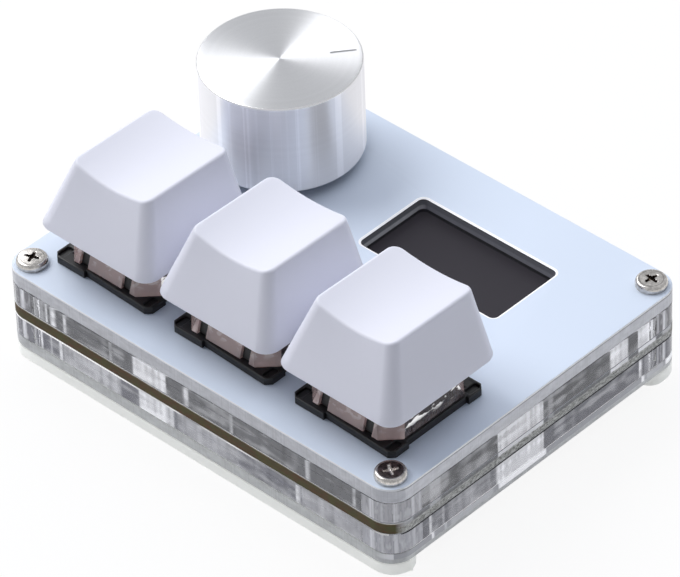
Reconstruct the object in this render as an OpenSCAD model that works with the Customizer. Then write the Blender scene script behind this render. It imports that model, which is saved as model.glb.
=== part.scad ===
// Three-key macro keypad with a press-and-turn knob and a display window.
// Origin: on the surface it stands on, under the middle of the case. +X runs along the key row,
// +Y runs from the keys to the knob and the display, +Z is up.

/* [Case] */
// Gap between the outer switches and the side walls of the frames
key_side_gap = 1.5; // [0.5:0.1:12]
// Gap between the switches and the front wall of the frames
key_front_gap = 1.85; // [0.85:0.05:6]
// Distance from the key row to the knob's axis
row_gap = 25; // [21:0.5:40]
// Radius of the case's upright corners
case_corner_r = 3; // [2:0.25:4]
// Thickness of the top plate
top_plate_t = 2; // [1.5:0.1:2.6]
// Height of the frame above the circuit board
upper_frame_t = 3; // [2.8:0.1:4]
// Thickness of the circuit board
board_t = 1.6; // [1.2:0.1:2]
// Height of the frame below the circuit board
lower_frame_t = 3; // [2.8:0.1:6]
// Thickness of the bottom plate
bottom_plate_t = 1.5; // [1.4:0.1:3]
// Width of the walls of both frames
frame_wall = 3.5; // [3:0.1:5]

/* [Feet] */
// Thickness of the foot strips
foot_t = 1.8; // [1:0.1:4]
// Depth of the front foot strip
front_foot_d = 4.8; // [4.6:0.1:12]
// Depth of the rear foot strip
rear_foot_d = 5.6; // [4.6:0.1:12]

/* [Screws] */
// Distance of the corner screws from the sides of the case
screw_inset = 2.6; // [2.4:0.1:3.2]
// Diameter of the corner screws' heads
screw_head_d = 3.9; // [3.2:0.1:4.2]
// Height of the corner screws' heads
screw_head_h = 0.95; // [0.7:0.05:1.1]
// Diameter of the screw threads
screw_d = 2; // [1.6:0.1:2.2]
// Diameter of the standoffs between the plates
standoff_d = 3.2; // [3:0.1:3.6]

/* [Keys] */
// Distance from one key to the next
key_pitch = 19.05; // [18.6:0.05:19.6]
// Travel of a key
key_travel = 4; // [2:0.1:4]
// Gap between the feet of two keycaps
cap_gap = 0.95; // [0.6:0.05:1.2]
// How far a keycap's left and right sides lean in
cap_side_lean = 2.8; // [2:0.1:3.2]
// How far a keycap's front leans in
cap_front_lean = 3.6; // [2.4:0.1:4]
// How far a keycap's back leans in
cap_back_lean = 0.8; // [0.4:0.1:2]
// Height of a keycap at the front of its top
cap_front_h = 9; // [8.6:0.1:10]
// Height of a keycap at the back of its top
cap_back_h = 8.25; // [8:0.05:10]
// Depth of the hollow in a keycap's top
cap_dish = 1.1; // [0.4:0.1:1.4]
// Width of a switch's body, which fills its cutout in the top plate
body_w = 13.9; // [13.5:0.1:14.5]

/* [Knob] */
// Diameter of the knob
knob_d = 19.8; // [17:0.1:20.2]
// Height of the knob
knob_h = 12.4; // [11.8:0.1:18]
// Gap between the encoder and the left wall of the frames
encoder_side_gap = 0.2; // [0.1:0.1:4]
// Gap between the encoder and the back wall of the frames
encoder_back_gap = 2.5; // [0.6:0.1:6]
// Gap between the knob and the top plate
knob_gap = 1.2; // [1:0.1:1.6]
// Travel of the knob when it is pressed
knob_travel = 0.5; // [0.2:0.1:0.6]
// Direction of the pointer line on the knob, in degrees from the key row
pointer_angle = 51; // [0:1:90]

/* [Display] */
// Distance of the display window from the right side of the case
window_right = 12.1; // [6.4:0.1:16]
// Distance of the display window from the back of the case
window_y = 8; // [5.8:0.1:12]
// Room for the display's flat cable, between the switches and the panel
ribbon_room = 5.1; // [4:0.1:8]
// Gap on either side of the cable socket
usb_gap = 0.5; // [0.2:0.1:3]

/* [Hidden] */
$fn = 72;

// Clearances: a piece in its cutout, a running fit, a face that lies against another, and the overrun of cuts
fit = 0.1;
run_fit = 0.05;
face_gap = 0.02;
cut = 1;

// Case details
inner_corner_r = 2;
foot_inner_r = 2;
window_corner_r = 0.8;

// Screw details
screw_reach = 3;
recess_w = 0.5;
recess_span_share = 0.56;
recess_depth_share = 0.6;
head_crown = 0.3;
base_head_d = 3.6;
base_head_h = 0.9;

// Switch details
flange_lip = 0.85;
flange_t = 1;
flange_corner_r = 0.7;
flange_recess = 0.4;
front_pad_w = 5.1;
side_pad_w = 2.8;
pit_w = 1;
pit_d = 1.9;
pit_depth = 0.35;
pit_margin = 0.35;
base_wall = 0.8;
base_floor = 1;
post_d = 3.9;
post_h = 3.2;
post_floor = 0.4;
collar_wall = 0.3;
collar_h = 1.4;
rod_d = 2.8;
spring_wall = 0.35;
spring_play = 0.1;
housing_h = 6.6;
housing_side_lean = 1.3;
housing_front_lean = 1.7;
housing_corner = 2.2;
housing_wall = 0.8;
housing_roof = 1;
notch_w = 1.4;
notch_gap = 5.4;
notch_depth = 0.45;
stem_w_share = 0.504;
stem_d_share = 0.403;
stem_rise = 0.3;
wing_gap = 0.4;
wing_h = 2.6;
stem_skirt = 4.4;
cross_span = 4;
cross_bar = 1.25;
cross_h = 3.6;
pin_w = 0.9;
pin_t = 0.25;
pin_h = 3.2;
pin_hole_d = 1.5;
blade_rise = 4.6;
pin_1_shares = [-0.274, 0.183];
pin_2_shares = [0.183, 0.365];
blade_gap = 0.5;

// Keycap details
cap_lift = 5.6;
cap_wall = 1.3;
cap_roof = 1.3;
cap_base_r = 2.1;
cap_top_r = 1.4;
cap_edge = 0.5;
cap_slab = 0.05;
boss_d = 5.5;
socket_depth = 3.8;

// Knob details
knob_chamfer = 0.35;
knob_wall = 1;
knob_recess_h = 2.2;
knob_cap = 1.9;
pointer_w = 0.32;
pointer_depth = 0.25;
pointer_l = 3.3;
pointer_edge = 0.7;
grub_d = 3;
grub_l = 4.5;
grub_key_d = 1.6;
grub_key_depth = 1.5;

// Encoder details, from the top of the circuit board upwards
encoder_w = 12;
encoder_d = 12.4;
encoder_gap = 0.3;
encoder_base_h = 3;
encoder_floor = 0.8;
dome_room_r = 4;
rotor_room_r = 5.3;
cover_roof = 0.6;
bushing_d = 7;
bushing_h = 5.4;
shaft_d = 6;
shaft_flat = 1.5;
shaft_bottom = 2;
shaft_collar_r = 3.5;
rotor_r = 4.9;
dome_r = 3.5;
dome_t = 0.15;
dome_clear = 0.03;
lead_w = 0.9;
lead_t = 0.3;
lead_rise = 1.5;
lead_drop = 2.6;
lead_pitch = 2.5;
lug_w = 2;
lug_t = 0.3;
lug_gap = 0.2;
lug_drop = 2.2;
lead_hole_d = 1.3;

// Display details
glass_t = 1.45;
glass_side = 2.7;
glass_back = 2.1;
glass_front = 5.95;
glass_ledge = 2.6;
ledge_t = 0.75;
glass_corner_r = 0.4;
pad_inset = 2;
ribbon_w = 12;
ribbon_t = 0.2;
ribbon_bend = 2.4;
ribbon_foot = 1.4;
ribbon_steps = 12;

// Socket details
usb_w = 8.9;
usb_h = 3.16;
usb_l = 7.3;
usb_wall = 0.3;
usb_headroom = 0.44;
usb_back = 1;
tongue_w = 6.6;
tongue_t = 0.7;
tongue_l = 4.4;
tab_w = 0.8;
tab_l = 1.6;

// Parts under the circuit board
chip_w = 7;
chip_t = 0.9;
chip_x = 10;
chip_y = -2;
chip_lead_w = 0.3;
chip_lead_l = 0.8;
chip_lead_t = 0.25;
chip_lead_pitch = 0.8;
chip_leads_side = 8;
crystal_w = 3.2;
crystal_d = 2.5;
crystal_t = 0.8;
small_w = 1.6;
small_d = 0.8;
small_t = 0.5;
small_pitch = 2.4;

// Levels, from the surface that the keypad stands on
z_bottom_plate = foot_t;
z_lower_frame = z_bottom_plate + bottom_plate_t;
z_board = z_lower_frame + lower_frame_t;
z_board_top = z_board + board_t;
z_top_plate = z_board_top + upper_frame_t;
z_deck = z_top_plate + top_plate_t;

// Plan: the case follows from what it holds
key_row_y = frame_wall + key_front_gap + body_w / 2;
key_side = frame_wall + key_side_gap + body_w / 2;
knob_x = frame_wall + encoder_side_gap + lug_t + encoder_w / 2;
knob_y = frame_wall + encoder_back_gap + encoder_d / 2;
case_w = 2 * key_pitch + 2 * key_side;
case_d = key_row_y + row_gap + knob_y;
window_x = knob_x + encoder_w / 2 + usb_w + 2 * usb_gap + glass_side;
window_front = key_row_y + body_w / 2 + ribbon_room + glass_front;
window_w = case_w - window_x - window_right;
window_d = case_d - window_front - window_y;
left_x = -case_w / 2;
right_x = case_w / 2;
front_y = -case_d / 2;
back_y = case_d / 2;

// Places
key_y = front_y + key_row_y;
function key_x(i) = (i - 2) * key_pitch;
screw_places = [for (sx = [-1, 1], sy = [-1, 1])
    [sx * (case_w / 2 - screw_inset), sy * (case_d / 2 - screw_inset)]];
dial_x = left_x + knob_x;
dial_y = back_y - knob_y;
window_left = left_x + window_x;
window_back = back_y - window_y;
glass_left = window_left - glass_side;
glass_right = window_left + window_w + glass_side;
glass_rear = window_back + glass_back;
glass_fore = window_back - window_d - glass_front;
glass_mid_x = (glass_left + glass_right) / 2;
usb_x = glass_left - usb_gap - usb_w / 2;
usb_z = z_top_plate - usb_headroom - usb_h;

// Derived heights and sizes
switch_depth = z_deck - z_board_top;
flange_w = body_w + 2 * flange_lip;
base_inner_w = body_w - 2 * base_wall;
pin_1_x = body_w * pin_1_shares[0];
pin_1_y = body_w * pin_1_shares[1];
pin_2_x = body_w * pin_2_shares[0];
pin_2_y = body_w * pin_2_shares[1];
housing_foot_w = body_w - fit;
housing_top_w = housing_foot_w - 2 * housing_side_lean;
housing_top_d = housing_foot_w - 2 * housing_front_lean;
stem_w = body_w * stem_w_share;
stem_d = body_w * stem_d_share;
wing_w = housing_top_w - 2 * housing_wall - 2 * wing_gap;
bore_d = rod_d + 2 * run_fit;
collar_d = bore_d + 2 * collar_wall;
spring_in_d = collar_d + 2 * spring_play;
spring_out_d = spring_in_d + 2 * spring_wall;
spring_room_d = spring_out_d + 2 * spring_play;
z_switch_floor = z_board_top + base_floor;
z_roof = z_deck + housing_h - housing_roof;
z_wing_top = z_roof - run_fit;
z_stem_top = z_deck + housing_h + stem_rise;
z_stem_foot = z_wing_top - stem_skirt;
z_spring_top = z_stem_top - cap_roof;
z_cap = z_deck + cap_lift;
z_cover = z_board_top + encoder_base_h;
z_knob = z_deck + knob_gap;
z_bushing = z_knob - knob_travel - fit;
encoder_cover_h = z_bushing - z_cover;
rotor_room_h = encoder_cover_h - cover_roof;
z_knob_top = z_knob + knob_h;
z_shaft_top = z_knob_top - knob_cap - 2 * face_gap;
bushing_room = z_bushing + bushing_h + knob_travel - z_knob;
grub_z = (bushing_room + knob_h - knob_cap) / 2;
knob_recess_r = knob_d / 2 - knob_wall;
cap_base_w = key_pitch - cap_gap;
cap_top_w = cap_base_w - 2 * cap_side_lean;
cap_top_d = cap_base_w - cap_front_lean - cap_back_lean;
cap_back_y = cap_base_w / 2 - cap_back_lean;
cap_front_y = cap_back_y - cap_top_d;
cap_centre_h = (cap_front_h + cap_back_h) / 2;
cap_tilt = atan((cap_back_h - cap_front_h) / cap_top_d);
cap_middle_h = cap_front_h - cap_front_y * (cap_back_h - cap_front_h) / cap_top_d;
z_rod_tip = z_board_top - post_h + post_floor + key_travel + 2 * fit;

// Outline of a plate with round corners, centred
module round_outline(w, d, r) {
    square([w - 2 * r, d], center = true);
    square([w, d - 2 * r], center = true);
    for (sx = [-1, 1], sy = [-1, 1])
        translate([sx * (w / 2 - r), sy * (d / 2 - r)]) circle(r);
}

module round_plate(w, d, t, r) {
    linear_extrude(t) round_outline(w, d, r);
}

module at_corners(z) {
    for (p = screw_places) translate([p[0], p[1], z]) children();
}

module case_plate(t) {
    round_plate(case_w, case_d, t, case_corner_r);
}

module block(w, d, h) {
    translate([-w / 2, -d / 2, 0]) cube([w, d, h]);
}

// Case
module top_plate() {
    color("aliceblue") difference() {
        translate([0, 0, z_top_plate]) case_plate(top_plate_t);
        at_corners(z_top_plate - cut) cylinder(h = top_plate_t + 2 * cut, d = screw_d + 2 * fit);
        for (i = [1:3])
            translate([key_x(i), key_y, z_top_plate - cut])
                block(body_w + fit, body_w + fit, top_plate_t + 2 * cut);
        translate([dial_x, dial_y, z_top_plate - cut])
            block(encoder_w + 2 * encoder_gap, encoder_d + 2 * encoder_gap, top_plate_t + 2 * cut);
        translate([window_left + window_w / 2, window_back - window_d / 2, z_top_plate - cut])
            round_plate(window_w, window_d, top_plate_t + 2 * cut, window_corner_r);
    }
}

module frame(z, t) {
    difference() {
        translate([0, 0, z]) case_plate(t);
        translate([0, 0, z - cut])
            round_plate(case_w - 2 * frame_wall, case_d - 2 * frame_wall, t + 2 * cut, inner_corner_r);
        at_corners(z - cut) cylinder(h = t + 2 * cut, d = standoff_d + 2 * fit);
    }
}

module upper_frame() {
    color("whitesmoke", 0.4) difference() {
        frame(z_board_top, upper_frame_t);
        translate([usb_x, back_y - frame_wall / 2, z_board_top - cut])
            block(usb_w + 2 * fit, frame_wall + 2 * cut, upper_frame_t + 2 * cut);
    }
}

module circuit_board() {
    color("saddlebrown") difference() {
        translate([0, 0, z_board]) case_plate(board_t);
        at_corners(z_board - cut) cylinder(h = board_t + 2 * cut, d = standoff_d + 2 * fit);
        for (i = [1:3]) translate([key_x(i), key_y, z_board - cut]) {
            cylinder(h = board_t + 2 * cut, d = post_d + 2 * fit);
            translate([pin_1_x, pin_1_y, 0]) cylinder(h = board_t + 2 * cut, d = pin_hole_d);
            translate([pin_2_x, pin_2_y, 0]) cylinder(h = board_t + 2 * cut, d = pin_hole_d);
        }
        translate([dial_x, dial_y, z_board - cut]) {
            for (p = lead_places) translate([p[0], p[1], 0])
                cylinder(h = board_t + 2 * cut, d = lead_hole_d);
            for (sx = [-1, 1]) translate([sx * lug_x, 0, 0])
                block(lug_t + 2 * fit, lug_w + 2 * fit, board_t + 2 * cut);
        }
        translate([usb_x, back_y - (usb_l + fit) / 2 + cut / 2, z_board - cut])
            block(usb_w + 2 * fit, usb_l + fit + cut, board_t + 2 * cut);
    }
}

module lower_frame() {
    color("whitesmoke", 0.4) frame(z_lower_frame, lower_frame_t);
}

module bottom_plate() {
    color("whitesmoke", 0.4) difference() {
        translate([0, 0, z_bottom_plate]) case_plate(bottom_plate_t);
        at_corners(z_bottom_plate - cut)
            cylinder(h = bottom_plate_t + 2 * cut, d = screw_d + 2 * fit);
        at_corners(z_bottom_plate - face_gap) cylinder(h = base_head_h + 2 * face_gap,
            d1 = base_head_d + 2 * fit, d2 = screw_d + 2 * fit);
    }
}

// A foot strip lies flush with the case's outline and has round inner corners
module foot(y, d) {
    intersection() {
        case_plate(foot_t);
        translate([0, y, 0]) round_plate(case_w, 2 * d, foot_t, foot_inner_r);
    }
}

module front_foot() {
    color("ghostwhite", 0.7) foot(front_y, front_foot_d);
}

module rear_foot() {
    color("ghostwhite", 0.7) foot(back_y, rear_foot_d);
}

// Pan head: a disc with a rounded rim and a cross recess
module pan_head() {
    r = screw_head_d / 2;
    difference() {
        union() {
            cylinder(h = screw_head_h - head_crown, r = r);
            translate([0, 0, screw_head_h - head_crown]) cylinder(h = head_crown, r1 = r, r2 = r - head_crown);
        }
        for (a = [0, 90]) rotate([0, 0, a])
            translate([0, 0, screw_head_h * (1 - recess_depth_share)])
                block(screw_head_d * recess_span_share, recess_w, screw_head_h);
    }
}

module corner_screws() {
    color("silver") at_corners(z_deck) {
        pan_head();
        translate([0, 0, -top_plate_t - screw_reach])
            cylinder(h = top_plate_t + screw_reach, d = screw_d - 2 * face_gap);
    }
}

module standoffs() {
    h = z_top_plate - z_lower_frame;
    color("gold") at_corners(z_lower_frame) difference() {
        cylinder(h = h, d = standoff_d);
        translate([0, 0, -cut]) cylinder(h = h + 2 * cut, d = screw_d);
    }
}

module base_screws() {
    color("silver") at_corners(z_bottom_plate) difference() {
        union() {
            cylinder(h = base_head_h, d1 = base_head_d, d2 = screw_d - 2 * face_gap);
            cylinder(h = bottom_plate_t + screw_reach, d = screw_d - 2 * face_gap);
        }
        for (a = [0, 90]) rotate([0, 0, a]) translate([0, 0, -cut])
            block(base_head_d * recess_span_share, recess_w, cut + base_head_h * recess_depth_share);
    }
}

// Keycap
module cap_slice(w, d, r) {
    linear_extrude(cap_slab) round_outline(w, d, r, $fn = 32);
}

// Body of a cap, its sides drawn in by a wall and its top lowered by a roof
module cap_form(wall, roof) {
    share = (cap_middle_h - roof - cap_edge) / (cap_middle_h - cap_edge);
    w = cap_base_w + (cap_top_w - cap_base_w) * share - 2 * wall;
    d = cap_base_w + (cap_top_d - cap_base_w) * share - 2 * wall;
    r = cap_base_r + (cap_top_r - cap_base_r) * share;
    hull() {
        cap_slice(cap_base_w - 2 * wall, cap_base_w - 2 * wall, cap_base_r);
        translate([0, (cap_front_y + cap_top_d / 2) * share, cap_centre_h - roof - cap_edge])
            rotate([cap_tilt, 0, 0]) {
                cap_slice(w, d, r);
                translate([0, 0, cap_edge - cap_slab]) cap_slice(w - cap_edge, d - cap_edge, r);
            }
    }
}

module cap_dish_cut() {
    half = (cap_top_w - cap_edge) / 2;
    r = (half * half + cap_dish * cap_dish) / (2 * cap_dish);
    translate([0, cap_front_y + cap_top_d / 2, cap_centre_h])
        rotate([cap_tilt, 0, 0]) translate([0, cap_base_w, r - cap_dish])
            rotate([90, 0, 0]) cylinder(h = 2 * cap_base_w, r = r);
}

module cross(span, bar, h) {
    block(span, bar, h);
    block(bar, span, h);
}

module keycap(i) {
    boss_z = z_stem_top + face_gap - z_cap;
    color("white") translate([key_x(i), key_y, z_cap]) difference() {
        union() {
            difference() {
                cap_form(0, 0);
                cap_dish_cut();
                translate([0, 0, -cap_slab]) cap_form(cap_wall, cap_dish + cap_roof);
            }
            translate([0, 0, boss_z]) cylinder(h = cap_middle_h - cap_dish - cap_roof / 2 - boss_z, d = boss_d);
        }
        translate([0, 0, boss_z - cut])
            cross(cross_span + 2 * face_gap, cross_bar + 2 * face_gap, socket_depth + cut);
    }
}

// Switch
module pit_places() {
    for (sx = [-1, 1], sy = [-1, 1])
        translate([sx * (flange_w / 2 - pit_margin - pit_w / 2),
            sy * (flange_w / 2 - pit_margin - pit_d / 2), 0]) children();
}

module switch_base(i) {
    front_gap = flange_w - 2 * front_pad_w;
    side_gap = flange_w - 2 * side_pad_w;
    color("black") translate([key_x(i), key_y, z_deck]) difference() {
        union() {
            difference() {
                union() {
                    round_plate(flange_w, flange_w, flange_t, flange_corner_r);
                    translate([0, 0, -switch_depth]) block(body_w, body_w, switch_depth + flange_t / 2);
                }
                translate([0, 0, -switch_depth + base_floor])
                    block(base_inner_w, base_inner_w, switch_depth + flange_t + cut);
                for (s = [-1, 1]) {
                    translate([0, s * flange_w / 2, -cut])
                        block(front_gap, 2 * flange_recess, flange_t + 2 * cut);
                    translate([s * flange_w / 2, 0, -cut])
                        block(2 * flange_recess, side_gap, flange_t + 2 * cut);
                }
                translate([0, 0, flange_t - pit_depth]) pit_places() block(pit_w, pit_d, pit_depth + cut);
            }
            translate([0, 0, -switch_depth - post_h]) cylinder(h = post_h + base_floor / 2, d = post_d);
            translate([0, 0, -switch_depth + base_floor / 2])
                cylinder(h = base_floor / 2 + collar_h, d = collar_d);
        }
        translate([0, 0, -switch_depth - post_h + post_floor])
            cylinder(h = post_h + base_floor + collar_h + cut, d = bore_d);
        translate([pin_1_x, pin_1_y, -switch_depth - cut])
            block(pin_w + fit, pin_t + fit, base_floor + 2 * cut);
        translate([pin_2_x, pin_2_y, -switch_depth - cut])
            block(pin_w + fit, pin_t + fit, base_floor + 2 * cut);
    }
}

// Outline with cut corners
module cut_outline(w, d, c) {
    x = w / 2;
    y = d / 2;
    polygon([[x - c, -y], [x, -y + c], [x, y - c], [x - c, y], [-x + c, y], [-x, y - c], [-x, -y + c], [-x + c, -y]]);
}

module housing_form(wall, h) {
    w = housing_foot_w - 2 * wall;
    linear_extrude(h, scale = [(housing_top_w - 2 * wall) / w, (housing_top_d - 2 * wall) / w], slices = 1)
        cut_outline(w, w, housing_corner);
}

module switch_top(i) {
    h = housing_h - flange_t;
    color("mistyrose", 0.7) translate([key_x(i), key_y, z_deck + flange_t]) difference() {
        housing_form(0, h);
        translate([0, 0, -face_gap]) housing_form(housing_wall, h - housing_roof + face_gap);
        translate([0, 0, -cut]) block(stem_w + 2 * fit, stem_d + 2 * fit, h + 2 * cut);
        for (sx = [-1, 1], sy = [-1, 1])
            translate([sx * (notch_gap / 2 + notch_w / 2), sy * housing_foot_w / 2, -cut])
                block(notch_w, 2 * notch_depth, h / 2 + cut);
    }
}

module switch_stem(i) {
    color("tomato") translate([key_x(i), key_y, 0]) {
        difference() {
            union() {
                translate([0, 0, z_stem_foot]) block(stem_w, stem_d, z_stem_top - z_stem_foot);
                translate([0, 0, z_wing_top - wing_h]) block(wing_w, stem_d, wing_h);
            }
            translate([0, 0, z_stem_foot - cut]) cylinder(h = z_spring_top - z_stem_foot + cut, d = spring_room_d);
        }
        translate([0, 0, z_stem_top - cap_roof / 2]) cross(cross_span, cross_bar, cross_h + cap_roof / 2);
        translate([0, 0, z_rod_tip]) cylinder(h = z_spring_top + cap_roof / 2 - z_rod_tip, d = rod_d);
    }
}

module switch_spring(i) {
    color("gold") translate([key_x(i), key_y, z_switch_floor + face_gap]) difference() {
        cylinder(h = z_spring_top - z_switch_floor - 2 * face_gap, d = spring_out_d);
        translate([0, 0, -cut]) cylinder(h = z_spring_top - z_switch_floor + 2 * cut, d = spring_in_d);
    }
}

// Two contacts: each is a pin through the board, with a blade inside the base
module switch_contacts(i) {
    foot_y = pin_2_y - blade_gap - pin_t;
    color("goldenrod") translate([key_x(i), key_y, z_board_top]) {
        translate([pin_2_x, pin_2_y, -pin_h]) block(pin_w, pin_t, pin_h + base_floor + blade_rise);
        translate([pin_1_x, pin_1_y, -pin_h]) block(pin_w, pin_t, pin_h + base_floor + pin_t);
        translate([pin_1_x, (pin_1_y + foot_y) / 2, base_floor + face_gap])
            block(pin_w, foot_y - pin_1_y + pin_t, pin_t);
        translate([(pin_1_x + pin_2_x) / 2, foot_y, base_floor + face_gap])
            block(pin_2_x - pin_1_x + pin_w, pin_t, pin_t);
        translate([pin_2_x, foot_y, base_floor + face_gap]) block(pin_w, pin_t, blade_rise);
    }
}

// Knob
module at_dial(z) {
    translate([dial_x, dial_y, z]) rotate([0, 0, pointer_angle]) children();
}

// D-shaped bar, its flat towards the pointer
module d_bar(r, flat, h) {
    intersection() {
        cylinder(h = h, r = r);
        translate([flat - 2 * r, 0, 0]) block(4 * r, 4 * r, h);
    }
}

module knob() {
    r = knob_d / 2;
    color("gainsboro") at_dial(z_knob) difference() {
        union() {
            cylinder(h = knob_h - knob_chamfer, r = r);
            translate([0, 0, knob_h - knob_chamfer]) cylinder(h = knob_chamfer, r1 = r, r2 = r - knob_chamfer);
        }
        translate([0, 0, -cut]) cylinder(h = knob_recess_h + cut, r = knob_recess_r);
        translate([0, 0, -cut]) cylinder(h = bushing_room + fit + cut, d = bushing_d + 4 * fit);
        translate([0, 0, -cut]) d_bar(shaft_d / 2 + face_gap, shaft_flat + face_gap, knob_h - knob_cap + cut);
        translate([0, 0, grub_z]) rotate([0, 90, 0]) cylinder(h = r + cut, d = grub_d + 2 * face_gap);
        translate([r - pointer_edge - pointer_l / 2, 0, knob_h - pointer_depth])
            block(pointer_l, pointer_w, pointer_depth + cut);
    }
}

module knob_screw() {
    color("dimgray") at_dial(z_knob + grub_z) rotate([0, 90, 0])
        translate([0, 0, shaft_flat + face_gap]) difference() {
            cylinder(h = grub_l, d = grub_d);
            translate([0, 0, grub_l - grub_key_depth]) cylinder(h = grub_key_depth + cut, d = grub_key_d, $fn = 6);
        }
}

// Encoder
lug_x = encoder_w / 2 + lug_t / 2 + face_gap;
lead_y = encoder_d / 2 + lead_t / 2 + face_gap;
lead_places = concat([for (k = [-1, 0, 1]) [k * lead_pitch, -lead_y]], [for (k = [-1, 1]) [k * lead_pitch, lead_y]]);

module encoder_base() {
    color("black") translate([dial_x, dial_y, z_board_top]) difference() {
        block(encoder_w, encoder_d, encoder_base_h);
        translate([0, 0, encoder_floor]) cylinder(h = encoder_base_h, r = dome_room_r);
    }
}

module encoder_cover() {
    color("lightgray") translate([dial_x, dial_y, z_cover]) difference() {
        union() {
            block(encoder_w, encoder_d, encoder_cover_h);
            cylinder(h = encoder_cover_h + bushing_h, d = bushing_d);
        }
        translate([0, 0, -cut]) cylinder(h = rotor_room_h + cut, r = rotor_room_r);
        translate([0, 0, -cut]) cylinder(h = encoder_cover_h + bushing_h + 2 * cut, d = shaft_d + 2 * run_fit);
    }
}

module encoder_rotor() {
    color("khaki") translate([dial_x, dial_y, z_cover + run_fit]) difference() {
        cylinder(h = rotor_room_h - 2 * run_fit, r = rotor_r);
        translate([0, 0, -cut]) cylinder(h = rotor_room_h + 2 * cut, d = shaft_d + 2 * run_fit);
    }
}

module encoder_shaft() {
    z_foot = z_board_top + shaft_bottom;
    flat_h = z_shaft_top - z_bushing - bushing_h;
    color("silver") at_dial(z_foot) {
        cylinder(h = encoder_base_h - shaft_bottom - run_fit, r = shaft_collar_r);
        cylinder(h = z_shaft_top - flat_h - z_foot, d = shaft_d);
        translate([0, 0, z_shaft_top - flat_h - z_foot]) d_bar(shaft_d / 2, shaft_flat, flat_h);
    }
}

// Snap dome: a thin shell whose crown meets the shaft's foot
module encoder_dome() {
    h = shaft_bottom - encoder_floor - 2 * dome_clear;
    ball = (dome_r * dome_r + h * h) / (2 * h);
    color("silver") translate([dial_x, dial_y, z_board_top + encoder_floor + dome_clear]) intersection() {
        translate([0, 0, h - ball]) difference() {
            sphere(ball);
            sphere(ball - dome_t);
        }
        cylinder(h = h + cut, r = dome_r + cut);
    }
}

module encoder_pins() {
    color("silver") translate([dial_x, dial_y, z_board_top]) {
        for (p = lead_places) translate([p[0], p[1], -lead_drop]) block(lead_w, lead_t, lead_drop + lead_rise);
        for (sx = [-1, 1]) translate([sx * lug_x, 0, -lug_drop]) block(lug_t, lug_w, lug_drop + upper_frame_t - lug_gap);
    }
}

// Display
module display_panel() {
    w = glass_right - glass_left;
    d = glass_rear - glass_fore;
    color("black") translate([glass_mid_x, 0, z_top_plate - face_gap - glass_t]) {
        translate([0, (glass_rear + glass_fore) / 2, 0]) round_plate(w, d, ledge_t, glass_corner_r);
        translate([0, (glass_rear + glass_fore + glass_ledge) / 2, 0])
            round_plate(w, d - glass_ledge, glass_t, glass_corner_r);
    }
}

module display_pad() {
    w = glass_right - glass_left - 2 * pad_inset;
    d = glass_rear - glass_fore - 2 * pad_inset;
    color("dimgray") translate([glass_mid_x, (glass_rear + glass_fore) / 2, z_board_top + face_gap])
        block(w, d, upper_frame_t - glass_t - 3 * face_gap);
}

// Flat cable: it lies on the panel's ledge, curves down to the board and ends there
ribbon_top = z_top_plate - glass_t + ledge_t;
ribbon_drop = ribbon_top - z_board_top - face_gap;
ribbon_fore = glass_fore - 2 * face_gap;
function ease(t) = t * t * (3 - 2 * t);
function ribbon_line(lift) = concat([[glass_fore + glass_ledge - face_gap, ribbon_top + lift]],
    [for (k = [0:ribbon_steps]) let (t = k / ribbon_steps)
        [ribbon_fore - ribbon_bend * t, ribbon_top - ribbon_drop * ease(t) + lift]],
    [[ribbon_fore - ribbon_bend - ribbon_foot, ribbon_top - ribbon_drop + lift]]);
function backwards(v) = [for (k = [len(v) - 1:-1:0]) v[k]];

module display_ribbon() {
    color("orange") translate([glass_mid_x - ribbon_w / 2, 0, 0]) rotate([90, 0, 90])
        linear_extrude(ribbon_w) polygon(concat(ribbon_line(ribbon_t), backwards(ribbon_line(0))));
}

// Socket: a flat tube with round ends, open at the back of the case
module usb_tube(l, inset) {
    w = usb_w - 2 * inset;
    h = usb_h - 2 * inset;
    rotate([90, 0, 0]) linear_extrude(l) round_outline(w, h, h / 2 - face_gap);
}

module usb_shell() {
    color("silver") {
        translate([usb_x, back_y, usb_z + usb_h / 2]) difference() {
            usb_tube(usb_l, 0);
            translate([0, cut, 0]) usb_tube(usb_l - usb_back + cut, usb_wall);
        }
        for (sx = [-1, 1])
            translate([usb_x + sx * (usb_w + tab_w - usb_wall) / 2, back_y - frame_wall - tab_l / 2 - 2 * fit,
                z_board_top + face_gap]) block(tab_w + usb_wall, tab_l, usb_wall);
    }
}

module usb_tongue() {
    color("black") translate([usb_x, back_y - usb_l + usb_back + face_gap, usb_z + usb_h / 2]) {
        translate([0, tongue_l / 2, -tongue_t / 2]) block(tongue_w, tongue_l, tongue_t);
    }
}

// Parts under the circuit board
module controller_chip() {
    color("black") translate([chip_x, chip_y, z_board - chip_lead_t - chip_t]) block(chip_w, chip_w, chip_t);
}

module chip_leads() {
    off = chip_w / 2 + chip_lead_l / 2;
    first = -(chip_leads_side - 1) / 2 * chip_lead_pitch;
    color("silver") translate([chip_x, chip_y, z_board - chip_lead_t]) for (a = [0:90:270]) rotate([0, 0, a])
        for (k = [0:chip_leads_side - 1])
            translate([first + k * chip_lead_pitch, -off + chip_lead_w, 0])
                block(chip_lead_w, chip_lead_l + 2 * chip_lead_w, chip_lead_t);
}

module board_parts() {
    color("tan") translate([chip_x, chip_y, z_board]) {
        translate([-chip_w - crystal_w / 2, 0, -crystal_t]) block(crystal_w, crystal_d, crystal_t);
        for (k = [0:4])
            translate([(k - 2) * small_pitch, -chip_w + small_d, -small_t]) block(small_w, small_d, small_t);
        for (k = [0:3])
            translate([chip_w + small_w, (k - 2) * small_pitch, -small_t]) block(small_w, small_d, small_t);
    }
}

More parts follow.
